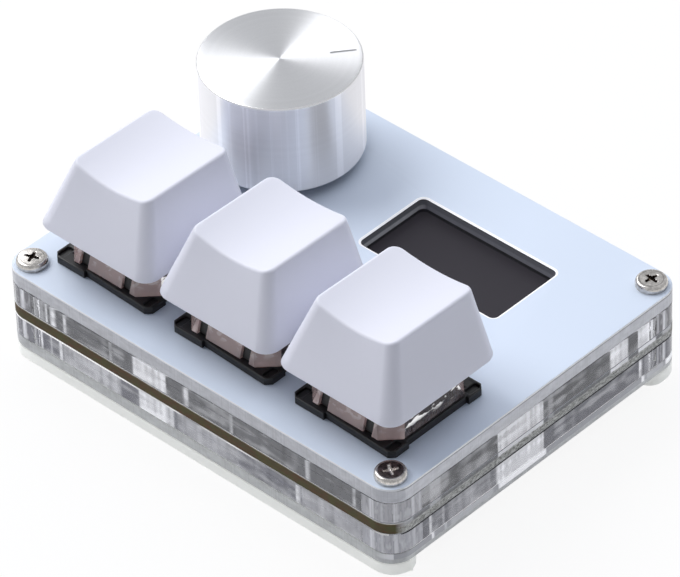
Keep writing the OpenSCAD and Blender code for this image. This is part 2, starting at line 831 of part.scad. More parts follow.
top_plate();
upper_frame();
circuit_board();
lower_frame();
bottom_plate();
front_foot();
rear_foot();
corner_screws();
standoffs();
base_screws();
keycap(1);  // keycap_1
keycap(2);  // keycap_2
keycap(3);  // keycap_3
switch_base(1);  // switch_base_1
switch_base(2);  // switch_base_2
switch_base(3);  // switch_base_3
switch_top(1);  // switch_top_1
switch_top(2);  // switch_top_2
switch_top(3);  // switch_top_3
switch_stem(1);  // switch_stem_1
switch_stem(2);  // switch_stem_2
switch_stem(3);  // switch_stem_3
switch_spring(1);  // switch_spring_1
switch_spring(2);  // switch_spring_2
switch_spring(3);  // switch_spring_3
switch_contacts(1);  // switch_contacts_1
switch_contacts(2);  // switch_contacts_2
switch_contacts(3);  // switch_contacts_3
knob();
knob_screw();
encoder_base();
encoder_cover();
encoder_rotor();
encoder_shaft();
encoder_dome();
encoder_pins();
display_panel();
display_pad();
display_ribbon();
usb_shell();
usb_tongue();
controller_chip();
chip_leads();
board_parts();
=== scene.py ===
"""Looks for a three-key macro keypad: stacked case, sprung keys, turned knob and display window.

Everything is in metres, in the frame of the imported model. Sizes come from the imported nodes, so each piece
stands where its solid stands. The operators are in the sidebar of the 3D view, under Keypad.
"""
import math

import bmesh
import bpy
from bpy.props import FloatProperty, FloatVectorProperty, IntProperty, PointerProperty
from mathutils import Matrix, Vector, geometry


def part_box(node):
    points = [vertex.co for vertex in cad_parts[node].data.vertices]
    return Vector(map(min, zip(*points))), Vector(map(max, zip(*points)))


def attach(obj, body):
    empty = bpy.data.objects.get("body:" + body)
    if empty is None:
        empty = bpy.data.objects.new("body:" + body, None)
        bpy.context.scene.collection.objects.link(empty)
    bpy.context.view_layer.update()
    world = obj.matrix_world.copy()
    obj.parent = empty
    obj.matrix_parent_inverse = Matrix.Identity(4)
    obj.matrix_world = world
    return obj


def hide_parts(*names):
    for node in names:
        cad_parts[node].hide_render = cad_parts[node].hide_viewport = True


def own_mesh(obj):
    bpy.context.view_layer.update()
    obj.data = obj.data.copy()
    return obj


bl_info = {
    "name": "Macro keypad",
    "version": (1, 0, 0),
    "blender": (4, 5, 0),
    "location": "View3D > Sidebar > Keypad",
    "description": "Builds the looks of a macro keypad with three keys, a knob and a display window",
    "category": "Object",
}

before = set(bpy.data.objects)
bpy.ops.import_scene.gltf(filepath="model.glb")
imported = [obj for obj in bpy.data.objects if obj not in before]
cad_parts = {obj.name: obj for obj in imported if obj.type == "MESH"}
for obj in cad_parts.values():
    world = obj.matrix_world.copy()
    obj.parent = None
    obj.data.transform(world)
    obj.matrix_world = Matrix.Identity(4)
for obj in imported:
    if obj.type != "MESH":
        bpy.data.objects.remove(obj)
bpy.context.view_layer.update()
MM = 0.001
UP = Vector((0, 0, 1))


def low(node):
    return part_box(node)[0]


def high(node):
    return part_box(node)[1]


def middle(node):
    return (low(node) + high(node)) / 2


DECK_Z = high("top_plate").z
DECK = DECK_Z / MM
KEYS = {i: middle(f"switch_base_{i}") for i in (1, 2, 3)}
DIAL = middle("encoder_rotor")
POINTER_ANGLE = math.radians(51)


# Shader maths


class Value:
    """One output of a shader node, on which sums can be written."""

    def __init__(self, finish, out):
        self.finish = finish
        self.out = out

    def sum(self, operation, *others, clamp=False):
        inputs = dict(enumerate((self, *others)))
        return self.finish.node("Math", {"operation": operation, "use_clamp": clamp}, inputs)

    def __add__(self, other):
        return self.sum("ADD", other)

    def __sub__(self, other):
        return self.sum("SUBTRACT", other)

    def __rsub__(self, other):
        return self.finish.node("Math", {"operation": "SUBTRACT"}, {0: other, 1: self})

    def __mul__(self, other):
        return self.sum("MULTIPLY", other)

    def __truediv__(self, other):
        return self.sum("DIVIDE", other)

    def __rtruediv__(self, other):
        return self.finish.node("Math", {"operation": "DIVIDE"}, {0: other, 1: self})

    def __neg__(self):
        return self * -1

    def __abs__(self):
        return self.sum("ABSOLUTE")

    __radd__ = __add__
    __rmul__ = __mul__

    def over(self, edge, soft):
        """0 below the edge and 1 above it, turning over within soft on either side."""
        return ((self - edge) / (2 * soft)).sum("ADD", 0.5, clamp=True)


class Finish:
    """A material, or a world, that is built node by node."""

    def __init__(self, name, owner=None):
        self.material = owner or bpy.data.materials.new(name)
        self.material.use_nodes = True
        self.nodes = self.material.node_tree.nodes
        self.links = self.material.node_tree.links
        self.shader = self.nodes.get("Principled BSDF")
        self.output = self.nodes["World Output" if owner else "Material Output"]
        self.places = {}

    def node(self, kind, settings=None, inputs=None, out=0):
        """Adds a node: its settings first, then a value or a link for each input that is named."""
        made = self.nodes.new(f"ShaderNode{kind}")
        for key, setting in (settings or {}).items():
            if key == "stops":
                ramp = made.color_ramp.elements
                while len(ramp) < len(setting):
                    ramp.new(0.5)
                for stop, (place, colour) in zip(ramp, setting):
                    stop.position = place
                    stop.color = (*colour, 1)
            else:
                setattr(made, key, setting)
        for key, given in (inputs or {}).items():
            self.put(made.inputs[key], given)
        return Value(self, made.outputs[out])

    def put(self, socket, given):
        if isinstance(given, Value):
            self.links.new(given.out, socket)
        elif socket.type == "RGBA" and len(given) == 3:
            socket.default_value = (*given, 1)
        else:
            socket.default_value = given

    def place(self, centre=(0, 0, 0), scale=(1, 1, 1)):
        """Object coordinates in millimetres, measured from centre (in metres) and stretched by scale."""
        key = (*centre, *scale)
        if key not in self.places:
            stretch = [share / MM for share in scale]
            inputs = {"Vector": self.node("TexCoord", out="Object"), "Scale": stretch,
                      "Location": [-at * share for at, share in zip(centre, stretch)]}
            self.places[key] = self.node("Mapping", inputs=inputs)
        return self.places[key]

    def axes(self, vector=None, **where):
        split = self.node("SeparateXYZ", inputs={0: vector or self.place(**where)}).out.node
        return [Value(self, out) for out in split.outputs]

    def noise(self, size, detail, rough=0.5, **where):
        """Noise with lumps of about size, in millimetres."""
        inputs = {"Vector": self.place(**where), "Scale": 1 / size, "Detail": detail, "Roughness": rough}
        return self.node("TexNoise", inputs=inputs)

    def lines(self, value, size, detail):
        """Noise along one number, for lines and rings."""
        inputs = {"W": value, "Scale": 1 / size, "Detail": detail}
        return self.node("TexNoise", {"noise_dimensions": "1D"}, inputs)

    def ray(self, kind):
        """1 for light paths of one kind, such as Camera, and 0 for all others."""
        return self.node("LightPath", out=f"Is {kind} Ray")

    def blend(self, share, first, second):
        """A colour between two colours."""
        return self.node("Mix", {"data_type": "RGBA"}, {0: share, 6: first, 7: second}, out=2)

    def bump(self, height, strength, distance, normal=None):
        inputs = {"Strength": strength, "Distance": distance * MM, "Height": height}
        if normal:
            inputs["Normal"] = normal
        return self.node("Bump", inputs=inputs)

    def set(self, **sockets):
        """Sets or links the shader's sockets; underscores in a name stand for spaces."""
        for key, given in sockets.items():
            self.put(self.shader.inputs[key.replace("_", " ")], given)
        return self.material


def shade(red, green, blue):
    """A colour as it looks on a screen, from 0 to 255, as the numbers that shaders use."""
    return tuple(c / 255 / 12.92 if c / 255 <= 0.04045 else ((c / 255 + 0.055) / 1.055) ** 2.4
                 for c in (red, green, blue))


def darker(colour, share):
    return tuple(c * share for c in colour)


# Finishes


def plastic(name, colour, roughness, grain=0.06, relief=0.15, mottle=0.04, **more):
    """Moulded plastic: a fine spark-eroded grain, and a colour and gloss that drift a little."""
    f = Finish(name)
    drift = f.noise(9, 3)
    fine = f.noise(grain, 2)
    return f.set(Base_Color=f.blend(drift, darker(colour, 1 - mottle), colour),
                 Roughness=drift * 0.10 + (roughness - 0.05),
                 Normal=f.bump(fine, relief, 0.01), **more)


def film_finish(colour):
    """The satin film on the top plate: an even coat with a very faint orange peel."""
    f = Finish("plate_film")
    drift = f.noise(14, 2)
    peel = f.noise(0.7, 3)
    specks = f.noise(0.12, 1)
    return f.set(Base_Color=f.blend(drift, darker(colour, 0.975), colour),
                 Roughness=drift * 0.06 + specks * 0.05 + 0.30,
                 Normal=f.bump(peel, 0.05, 0.02, f.bump(specks, 0.04, 0.004)))


def end_share(x, reach, soft):
    """1 within reach of the case's left and right ends and 0 between them, in millimetres."""
    return abs(x).over(CASE.x / 2 / MM - reach, soft)


def sawn_finish(name, colour, transmission, roughness, sees_panes=False):
    """A cut edge of sheet plastic: faint upright tool marks over a soft grey-white body, whose left and right
    ends give off a little painted light. At the deck's height the top of the edge is near-white, the film's
    edge brightened as a painted highlight, with a darker line below it at the ends. The ends of the bottom
    plate are painted with the lower frame's panes in their upper half, giving off painted light."""
    f = Finish(name)
    x, y, z = f.axes()
    marks = f.lines(x + y * 1.7, 0.25, 3)
    band = f.lines(z, 0.5, 1)
    cloud = f.noise(0.6, 2, scale=(0.5, 0.5, 1))
    tone = f.blend((marks * 0.4 + cloud * 0.7).over(0.55, 0.14), darker(colour, 0.80), colour)
    # Painted highlight: the top of the edge is near-white, on the film's edge.
    line = z.over(DECK - 0.20, 0.02)
    # No groove is cut here: this darkens a line just below it at the left and right ends.
    groove = z.over(DECK - 0.36, 0.03) * end_share(x, 0.4, 0.2)
    tone = f.blend(line, f.blend(groove * 0.75, tone, darker(colour, 0.22)), shade(250, 251, 253))
    # Painted light: the left and right ends give off a little light.
    painted_glow = end_share(x, 0.1, 0.05) * 0.12
    if sees_panes:
        # Painted light: the lower frame's light and dark panes, giving off light, on the upper part of the
        # ends.
        lit, _ = wall_light(f, LOWER_LONG, LOWER_SHORT, 1.2)
        seen = end_share(x, 2, 0.8) * z.over(2.5, 0.06)
        tone = f.blend(seen * 0.9, tone, f.blend(lit, shade(122, 123, 130), shade(226, 227, 231)))
        painted_glow = painted_glow + seen * 0.45
    return f.set(Base_Color=tone, Roughness=marks * 0.18 + band * 0.05 + roughness,
                 Emission_Color=f.blend(painted_glow, (0, 0, 0), tone), Emission_Strength=1.0,
                 Transmission_Weight=transmission, IOR=1.49,
                 Normal=f.bump(marks, 0.25, 0.02))


def window_finish(colour):
    """The display window's sawn walls: grey between two dark lines, with a lighter band of painted light low
    down, white on the left wall. The near-black line at the foot is painted shade.
    """
    f = Finish("window_wall")
    x0, _, x1, _ = window_box()
    x, _, z = f.axes(centre=((x0 + x1) / 2, 0, 0))
    left = (-x).over((x1 - x0) / 2 / MM - 0.4, 0.2)
    grain = f.noise(0.5, 3, scale=(1, 1, 3))
    depth = DECK - z
    tone = f.blend(depth.over(0.28, 0.06), darker(colour, 0.25), darker(colour, 0.72))
    tone = f.blend(f.lines(z, 0.16, 1).over(0.5, 0.1) * 0.35, tone, darker(colour, 0.4))
    # Painted light: lighter low down, white on the left wall.
    tone = f.blend(depth.over(0.95, 0.12), tone, f.blend(left, colour, shade(250, 250, 252)))
    # Painted shade: near black at the foot of the wall.
    tone = f.blend(depth.over(1.56, 0.05), tone, darker(colour, 0.05))
    return f.set(Base_Color=f.blend(grain * 0.4, tone, darker(colour, 0.3)), Roughness=grain * 0.2 + 0.3)


def clear_finish(colour):
    """Clear sheet acrylic with faint upright polishing marks on its sawn walls."""
    f = Finish("clear_acrylic")
    x, y, _ = f.axes()
    marks = f.lines(x + y * 1.7, 0.9, 0)
    sway = f.noise(3.5, 0)
    return f.set(Base_Color=colour, Roughness=marks * 0.012, Transmission_Weight=1.0, IOR=1.49,
                 Specular_Tint=(0.1, 0.1, 0.1),
                 Normal=f.bump(marks, 0.10, 0.03, f.bump(sway, 0.15, 0.05)))


def lit_share(f, run, half, panes):
    """How much painted light a wall has along its run, from panes of (start, end, share) in millimetres.
    One ramp has room for eight of them."""
    lit = None
    for first in range(0, len(panes), 8):
        stops, last = [], None
        for start, end, share in panes[first:first + 8]:
            soft = min(0.15, (end - start) * 0.25)
            rise = [(start, 0), (start + soft, share), (end - soft, share), (end, 0)]
            if start == last:
                stops.pop()
                rise.pop(0)
            stops += [((at + half) / (2 * half), (tone,) * 3) for at, tone in rise]
            last = end
        ramp = f.node("ValToRGB", {"stops": stops}, {0: (run + half) / (2 * half)})
        lit = ramp if lit is None else lit.sum("MAXIMUM", ramp)
    return lit


def wall_light(f, long_panes, short_panes, shift=0.0):
    """How much painted light all four walls have, and the length along the walls for finer marks. Panes move
    by shift.
    """
    x, y, _ = f.axes()
    long_run = x * y.sum("SIGN") * -1
    short_run = y * x.sum("SIGN")
    side = (abs(x) - abs(y)).over(6.25, 0.05)
    half = CASE / 2 / MM
    long_lit = lit_share(f, long_run, half.x, long_panes)
    short_lit = lit_share(f, short_run + shift, half.y, short_panes)
    return long_lit * (1.0 - side) + short_lit * side, long_run + short_run * 1.3


def pane_finish(name, dark, light, brow_z, long_panes, short_panes):
    """The inner wall of a clear frame, painted with the light gaps between the dark parts behind it, smeared
    by the
    sheet: painted light and shade, which glows in its own tone.
    """
    f = Finish(name)
    lit, run = wall_light(f, long_panes, short_panes)
    x, _, z = f.axes()
    streaks = f.lines(run, 0.8, 1)
    smears = f.noise(0.8, 0, scale=(0.16, 0.16, 1))
    patches = f.noise(2.2, 1)
    # Painted shade: the dark panes darken towards the top of the wall.
    brow = z.over(brow_z, 0.2) * (1.0 - lit)
    # Painted shade: the dark panes are darker near the left and right ends.
    ends = end_share(x, 4, 0.3)
    tone = f.blend(lit, f.blend(ends, dark, darker(dark, 0.78)), light)
    tone = f.blend((streaks * 0.4 + smears * 0.6).over(0.50, 0.10) * 0.45, tone, darker(dark, 0.42))
    tone = f.blend((smears * 0.5 + patches * 0.5).over(0.56, 0.08) * 0.28, tone, light)
    tone = f.blend(brow * 0.4, tone, darker(dark, 0.4))
    # The painted tone glows, as painted light.
    return f.set(Base_Color=f.blend(0.7, tone, (0, 0, 0)), Emission_Color=tone, Emission_Strength=0.86,
                 Roughness=streaks * 0.3 + 0.3,
                 Normal=f.bump(streaks, 0.15, 0.05))


def lit_edge_finish():
    """The sawn edge of the lower frame under the board, with painted light here and there, glowing faintly.
    """
    f = Finish("lit_edge")
    x, y, _ = f.axes()
    lit = (f.lines(x - y, 7, 1) - x * 0.009).over(0.50, 0.12)
    tone = f.blend(lit, shade(142, 142, 144), shade(248, 247, 244))
    return f.set(Base_Color=tone, Emission_Color=tone, Emission_Strength=0.4, Roughness=0.35)


def corner_finish(name, dark, light, shift):
    """A frame's round corners, painted with the upright stripes of light and shade that the thick clear sheet
    gathers;
    the painted tone glows.
    """
    f = Finish(name)
    x, y, _ = f.axes()
    turn = abs(x) - abs(y)
    streaks = f.lines(turn + x * 0.2 + shift, 0.5, 3)
    clouds = f.noise(0.8, 3, scale=(1, 1, 0.5))
    # Painted light: the front corner's stripes are calmer and half lit.
    calm = x.over(0, 1) * (-y).over(0, 1)
    lit = lit_share(f, turn, 12, CORNER_PANES) * (1.0 - calm * 0.65) + calm * 0.32
    tone = f.blend(lit, dark, light)
    tone = f.blend((streaks * 0.6 + clouds * 0.5).over(0.58, 0.08) * 0.5, tone, darker(dark, 0.5))
    tone = f.blend((streaks * 0.3 + clouds * 0.7).over(0.56, 0.05) * 0.35, tone, light)
    return f.set(Base_Color=tone, Emission_Color=tone, Emission_Strength=0.3, Roughness=clouds * 0.2 + 0.05,
                 Transmission_Weight=0.35, IOR=1.49, Normal=f.bump(streaks, 0.3, 0.05))


def laminate_finish(edge, mask):
    """Circuit board: a brown layered edge between two lacquered faces, with a painted highlight along the top
    of the edge. The sawn ends are pale, partly their routed finish and partly painted light, and on their
    upper part they are painted with the upper frame's panes, giving off painted light.
    """
    f = Finish("circuit_board")
    x, y, z = f.axes(centre=(0, 0, middle("circuit_board").z))
    half = (high("circuit_board").z - low("circuit_board").z) / 2 / MM
    layers = f.lines(z, 0.13, 2)
    fibres = f.noise(0.5, 4, scale=(1, 1, 6))
    blotch = f.noise(0.9, 3, scale=(1, 1, 4))
    face = abs(z).over(half - 0.04, 0.01)
    core = f.blend(layers * 0.6 + fibres * 0.4, darker(edge, 0.55), edge)
    core = f.blend(blotch.over(0.54, 0.08) * 0.5, core, shade(104, 62, 48))
    greenish = f.noise(1.6, 2, centre=(5 * MM, 0, 0)).over(0.53, 0.06) * 0.4
    core = f.blend(greenish, core, shade(84, 90, 52))
    # Painted highlight along the top of the edge.
    glare = f.lines(x + y, 4, 2).over(0.47, 0.1) * 0.5 + 0.4
    core = f.blend(z.over(half - 0.15, 0.03) * glare, core, shade(224, 220, 210))
    ends = end_share(x, 0.4, 0.3)
    rough = f.noise(0.35, 3, scale=(1, 1, 2))
    # The sawn ends: pale, partly their routed finish and partly painted light.
    routed_and_lit_ends = f.blend((rough * 0.7 + layers * 0.3).over(0.5, 0.16), shade(104, 105, 98), shade(232, 232, 228))
    # Painted light: the upper frame's panes, on the ends' upper part.
    lit, _ = wall_light(f, UPPER_LONG, UPPER_SHORT, 1.6)
    tone = f.blend(lit, shade(96, 96, 100), shade(222, 222, 226))
    tone = f.blend((layers * 0.3 + rough * 0.5).over(0.45, 0.2) * 0.3, tone, shade(90, 90, 92))
    seen = (z + rough * 0.2).over(half - 0.46, 0.07)
    routed_and_lit_ends = f.blend(seen * 0.8, routed_and_lit_ends, tone)
    # Painted light: the ends' upper part gives off the panes' tone.
    painted_glow = f.blend(ends * seen * (1.0 - face), (0, 0, 0), tone)
    core = f.blend(ends, core, routed_and_lit_ends)
    return f.set(Base_Color=f.blend(face, core, mask), Roughness=0.75 - face * 0.4, Specular_IOR_Level=0.25,
                 Emission_Color=painted_glow, Emission_Strength=0.45,
                 Normal=f.bump(fibres, 0.4, 0.03))


def metal(name, colour, roughness, marks=0.05):
    """Plated or blackened metal with fine wear that changes its gloss."""
    f = Finish(name)
    wear = f.noise(1.2, 4, 0.6)
    fine = f.noise(0.05, 2)
    return f.set(Base_Color=f.blend(wear, darker(colour, 0.86), colour), Metallic=1.0,
                 Roughness=wear * 0.16 + (roughness - 0.08), Normal=f.bump(fine, marks, 0.01))


def turned_finish(name, colour, roughness, pitch, relief, along, **more):
    """Turned aluminium: rings round the knob's axis on its faces, or lines round its side. On the side,
    upright dark streaks are painted reflection, and the tone glows faintly as painted light.
    """
    f = Finish(name)
    x, y, z = f.axes(centre=DIAL)
    radius = (x * x + y * y).sum("SQRT")
    track = radius if along == "face" else z
    around = y.sum("ARCTAN2", x)
    rings = f.lines(track, pitch, 3)
    broad = f.lines(track, 12 * pitch, 2)
    tone = f.blend(broad, darker(colour, 0.95), colour)
    if along == "side":
        # Painted reflection: upright dark streaks round the side.
        lines = f.lines(around, 1 / 7, 5).over(0.43, 0.03)
        broad_reflection_streaks = f.lines(around, 1 / 2.2, 2).over(0.5, 0.12)
        tone = f.blend(lines * 0.20 + broad_reflection_streaks * 0.03, tone, darker(colour, 0.45))
        # The side's tone glows faintly, as painted light.
        more["Emission_Color"] = tone
    else:
        speckle = f.noise(0.16, 2).over(0.5, 0.2)
        tone = f.blend(speckle * 0.06, tone, darker(colour, 0.5))
    return f.set(Base_Color=tone, Metallic=1.0, Roughness=rings * 0.08 + roughness,
                 Normal=f.bump(rings, relief, pitch * 0.25), **more)


# Mesh work


def rounded_loop(width, depth, radius, centre=(0, 0), steps=8):
    """Points round a rectangle with round corners, anticlockwise.
    Takes one radius, or a tuple of one for each corner."""
    radii = radius if isinstance(radius, tuple) else (radius,) * 4
    points = []
    for corner, (r, (sx, sy)) in enumerate(zip(radii, ((1, 1), (-1, 1), (-1, -1), (1, -1)))):
        cx = centre[0] + sx * (width / 2 - r)
        cy = centre[1] + sy * (depth / 2 - r)
        for k in range(steps + 1):
            a = math.pi / 2 * (corner + k / steps)
            points.append((cx + r * math.cos(a), cy + r * math.sin(a)))
    return points


def circle_loop(radius, centre=(0, 0), steps=32):
    return [(centre[0] + radius * math.cos(2 * math.pi * k / steps),
             centre[1] + radius * math.sin(2 * math.pi * k / steps)) for k in range(steps)]


def box_loop(x0, y0, x1, y1):
    return [(x0, y0), (x1, y0), (x1, y1), (x0, y1)]


def area_of(loop):
    return sum(a[0] * b[1] - b[0] * a[1] for a, b in zip(loop, loop[1:] + loop[:1])) / 2


def inset_loop(loop, amount):
    """Moves each point of an anticlockwise loop to its left, square to the edges that meet there."""
    moved = []
    for before, point, after in zip(loop[-1:] + loop[:-1], loop, loop[1:] + loop[:1]):
        a = (Vector(point) - Vector(before)).normalized()
        b = (Vector(after) - Vector(point)).normalized()
        na, nb = Vector((-a.y, a.x)), Vector((-b.y, b.x))
        mitre = (na + nb) / max(0.35, 1 + na.dot(nb))
        moved.append(tuple(Vector(point) + mitre * amount))
    return moved


def round_profile(bottom, top, edge, steps=3):
    """Insets and heights up a wall whose lower and upper edges are rounded."""
    turns = [math.pi / 2 * k / steps for k in range(steps + 1)]
    rise = [(edge * (1 - math.sin(a)), bottom + edge * (1 - math.cos(a))) for a in turns]
    return rise + [(inset, bottom + top - z) for inset, z in reversed(rise)]


def ring(bm, points, z):
    """New points of a mesh, round a loop at one height."""
    return [bm.verts.new((x, y, z)) for x, y in points]


def bridge(bm, rings, inward=False):
    """Walls from each ring of points to the next. A ring of one point is a pole."""
    for one, two in zip(rings, rings[1:]):
        for k in range(max(len(one), len(two))):
            a, b = (k + 1, k) if inward else (k, k + 1)
            corners = (one[a % len(one)], one[b % len(one)], two[b % len(two)], two[a % len(two)])
            face = list(dict.fromkeys(corners))
            if len(face) > 2:
                bm.faces.new(face)


def fill(bm, rings):
    """Flat faces inside the first ring of points and outside the others."""
    verts = [vert for points in rings for vert in points]
    return [bm.faces.new([verts[k] for k in corners])
            for corners in geometry.tessellate_polygon([[vert.co for vert in points] for points in rings])]


def add_slab(bm, loops, profile, hole_profile=None):
    """A flat plate with holes. The first loop is the outline; profile gives its wall from bottom to top."""
    ends = []
    for loop in loops:
        outer = loop is loops[0]
        steps = profile if outer or hole_profile is None else hole_profile
        if (area_of(loop) > 0) != outer:
            loop = loop[::-1]
        rings = [ring(bm, inset_loop(loop, inset), z) for inset, z in steps]
        bridge(bm, rings)
        ends.append((rings[0], rings[-1]))
    for facing, rings in zip((-1, 1), zip(*ends)):
        for face in fill(bm, rings):
            face.normal_update()
            if face.normal.z * facing < 0:
                face.normal_flip()


def add_lathe(bm, profile, steps=64, closed=False):
    """Turns a profile of (radius, height) round the upright axis; points on the axis become poles."""
    rings = [ring(bm, circle_loop(radius, steps=steps) if radius else [(0, 0)], z) for radius, z in profile]
    bridge(bm, rings + rings[:1] if closed else rings)


def in_place(bm, spot=(0, 0, 0), turn=Matrix()):
    """Moves a mesh that was built in millimetres round the origin to its spot in metres."""
    bmesh.ops.transform(bm, matrix=Matrix.Translation(spot) @ turn @ Matrix.Scale(MM, 4), verts=bm.verts)


def plain_mesh(source, name):
    """The evaluated form of an object as a new object without modifiers."""
    bpy.context.view_layer.update()
    graph = bpy.context.evaluated_depsgraph_get()
    mesh = bpy.data.meshes.new_from_object(source.evaluated_get(graph))
    made = bpy.data.objects.new(name, mesh)
    bpy.context.scene.collection.objects.link(made)
    bpy.data.objects.remove(source)
    made.name = name
    mesh.name = name
    return made


def new_object(name, bm, outward=True):
    if outward:
        bmesh.ops.recalc_face_normals(bm, faces=bm.faces)
        if bm.calc_volume(signed=True) < 0:
            bmesh.ops.reverse_faces(bm, faces=bm.faces)
    mesh = bpy.data.meshes.new(name)
    bm.to_mesh(mesh)
    bm.free()
    made = bpy.data.objects.new(name, mesh)
    bpy.context.scene.collection.objects.link(made)
    return made


def dress(piece, body, materials, nodes=(), pick=None, angle=40):
    """Gives a piece its finishes and smooth shading, ties it to its body and hides the solids it stands in
    for.
    pick turns a face into the number of its material."""
    mesh = piece.data
    mesh.materials.clear()
    for material in materials:
        mesh.materials.append(material)
    for polygon in mesh.polygons:
        polygon.use_smooth = True
        polygon.material_index = pick(polygon) if pick else 0
    mesh.set_sharp_from_angle(angle=math.radians(angle))
    piece.modifiers.new("weights", "WEIGHTED_NORMAL").keep_sharp = True
    name = piece.name
    piece.name = f"{name}_source"
    made = plain_mesh(piece, name)
    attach(made, body)
    if nodes:
        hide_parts(*nodes)
    return made


def shaped(node, bm, body, materials, pick=None, angle=40, outward=True):
    """Makes the piece that takes the place of one solid."""
    return dress(new_object(f"{node}_piece", bm, outward), body, materials, [node], pick, angle)


def slab_piece(node, loops, profile, materials, pick=None, hole_profile=None):
    """Makes a piece of the case that is a flat plate with holes."""
    bm = bmesh.new()
    add_slab(bm, loops, profile, hole_profile)
    shaped(node, bm, "case", materials, pick)


def softened(node, body, material, edge):
    """A copy of a solid with its triangles joined and its sharp edges rounded by edge, in millimetres."""
    bm = bmesh.new()
    bm.from_mesh(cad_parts[node].data)
    bmesh.ops.remove_doubles(bm, verts=bm.verts, dist=1e-7)
    bmesh.ops.dissolve_limit(bm, angle_limit=math.radians(0.5), verts=bm.verts, edges=bm.edges)
    piece = new_object(f"{node}_rounded", bm, outward=False)
    round_edges(piece, edge, 35)
    return dress(plain_mesh(piece, f"{node}_piece"), body, [material], [node])


def round_edges(piece, edge, angle):
    bevel = piece.modifiers.new("edges", "BEVEL")
    bevel.width = edge * MM
    bevel.segments = 2
    bevel.angle_limit = math.radians(angle)


def paint(node, material):
    """Gives a solid that stays in view its finish."""
    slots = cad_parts[node].material_slots
    if slots:
        for one in slots:
            one.material = material
    else:
        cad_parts[node].data.materials.append(material)


# Settings


def colour_setting(name, description, default):
    return FloatVectorProperty(name=name, description=description, subtype="COLOR", size=3, min=0, max=1,
                               default=shade(*default))


def length_setting(name, description, default, most):
    return FloatProperty(name=name, description=description, subtype="DISTANCE", unit="LENGTH",
                         precision=5, min=0, max=most * MM, default=default * MM)


class KEYPAD_case_settings(bpy.types.PropertyGroup):
    """Sizes and colours of the stacked case."""

    edge: length_setting("Edge", "Rounding of the plates' edges", 0.12, 0.5)
    film: colour_setting("Film", "Colour of the top plate's film", (218, 229, 245))
    rim: colour_setting("Rim", "Colour of the top plate's sawn edge", (219, 220, 225))
    bottom_rim: colour_setting("Bottom rim", "Colour of the bottom plate's sawn edge", (214, 216, 217))
    window: colour_setting("Window wall", "Colour of the display window's walls", (176, 177, 184))
    clear: colour_setting("Clear", "Tint of the clear sheets", (250, 251, 252))
    # The panes, the corner stripes and the light gaps are painted light and shade in the clear frames.
    upper_dark: colour_setting("Upper panes", "Colour of the dark panes in the upper frame", (93, 94, 99))
    corner_dark: colour_setting("Corner stripes", "Colour of the dark stripes in the upper frame's corners",
                                (106, 106, 112))
    lower_dark: colour_setting("Lower panes", "Colour of the dark panes in the lower frame", (106, 107, 116))
    light: colour_setting("Light panes", "Colour of the light gaps in the frames", (226, 227, 233))
    board_edge: colour_setting("Board edge", "Colour of the circuit board's sawn edge", (94, 84, 60))
    board_mask: colour_setting("Board lacquer", "Colour of the circuit board's faces", (232, 234, 238))
    foot: colour_setting("Foot", "Colour of the foot strips", (251, 252, 249))
    foot_edge: length_setting("Foot edge", "Rounding of the foot strips", 0.35, 0.8)


class KEYPAD_key_settings(bpy.types.PropertyGroup):
    """Sizes and colours of the keys."""

    cap: colour_setting("Cap", "Colour of the keycaps", (229, 230, 241))
    top_edge: length_setting("Top edge", "Reach of the rounding where a cap's sides meet its top", 0.38, 1.5)
    base: colour_setting("Base", "Colour of the switches' lower housings", (22, 22, 24))
    housing: colour_setting("Housing", "Colour of the switches' upper housings", (246, 222, 219))
    stem: colour_setting("Stem", "Colour of the sliders", (196, 66, 58))


class KEYPAD_knob_settings(bpy.types.PropertyGroup):
    """Sizes and colours of the knob."""

    metal: colour_setting("Metal", "Colour of the aluminium", (236, 237, 240))
    rim: length_setting("Rim", "Width of the polished rim round the top", 0.24, 1)
    ring_pitch: length_setting("Ring pitch", "Distance between the turning marks", 0.05, 0.5)
    steps: IntProperty(name="Steps", description="Faces round the knob", min=48, max=512, default=192)


class KEYPAD_display_settings(bpy.types.PropertyGroup):
    """Colours of the display."""

    panel: colour_setting("Panel", "Colour of the dark panel", (46, 44, 49))


class KEYPAD_stage_settings(bpy.types.PropertyGroup):
    """Light and camera."""

    floor: colour_setting("Floor", "Colour of the floor", (250, 250, 252))
    world: FloatProperty(name="World", description="Strength of the light from all round", min=0, max=3,
                         default=0.42)
    back_light: FloatProperty(name="Back light", description="Strength of the soft light from the back left",
                              min=0, max=5, default=1.25)
    mirrored: FloatProperty(name="Mirrored", description="Brightness of the studio in shiny faces",
                            min=0, max=3, default=0.62)
    key_light: FloatProperty(name="Key light", description="Power of the large lamp on the left",
                             subtype="POWER", min=0, max=50, default=4.4)
    focal: FloatProperty(name="Lens", description="Focal length in millimetres", unit="CAMERA", min=20,
                         max=500, default=310.1)


SETTINGS = {"case": KEYPAD_case_settings, "key": KEYPAD_key_settings, "knob": KEYPAD_knob_settings,
            "display": KEYPAD_display_settings, "stage": KEYPAD_stage_settings}


def settings(context, group):
    return getattr(context.scene, f"keypad_{group}")


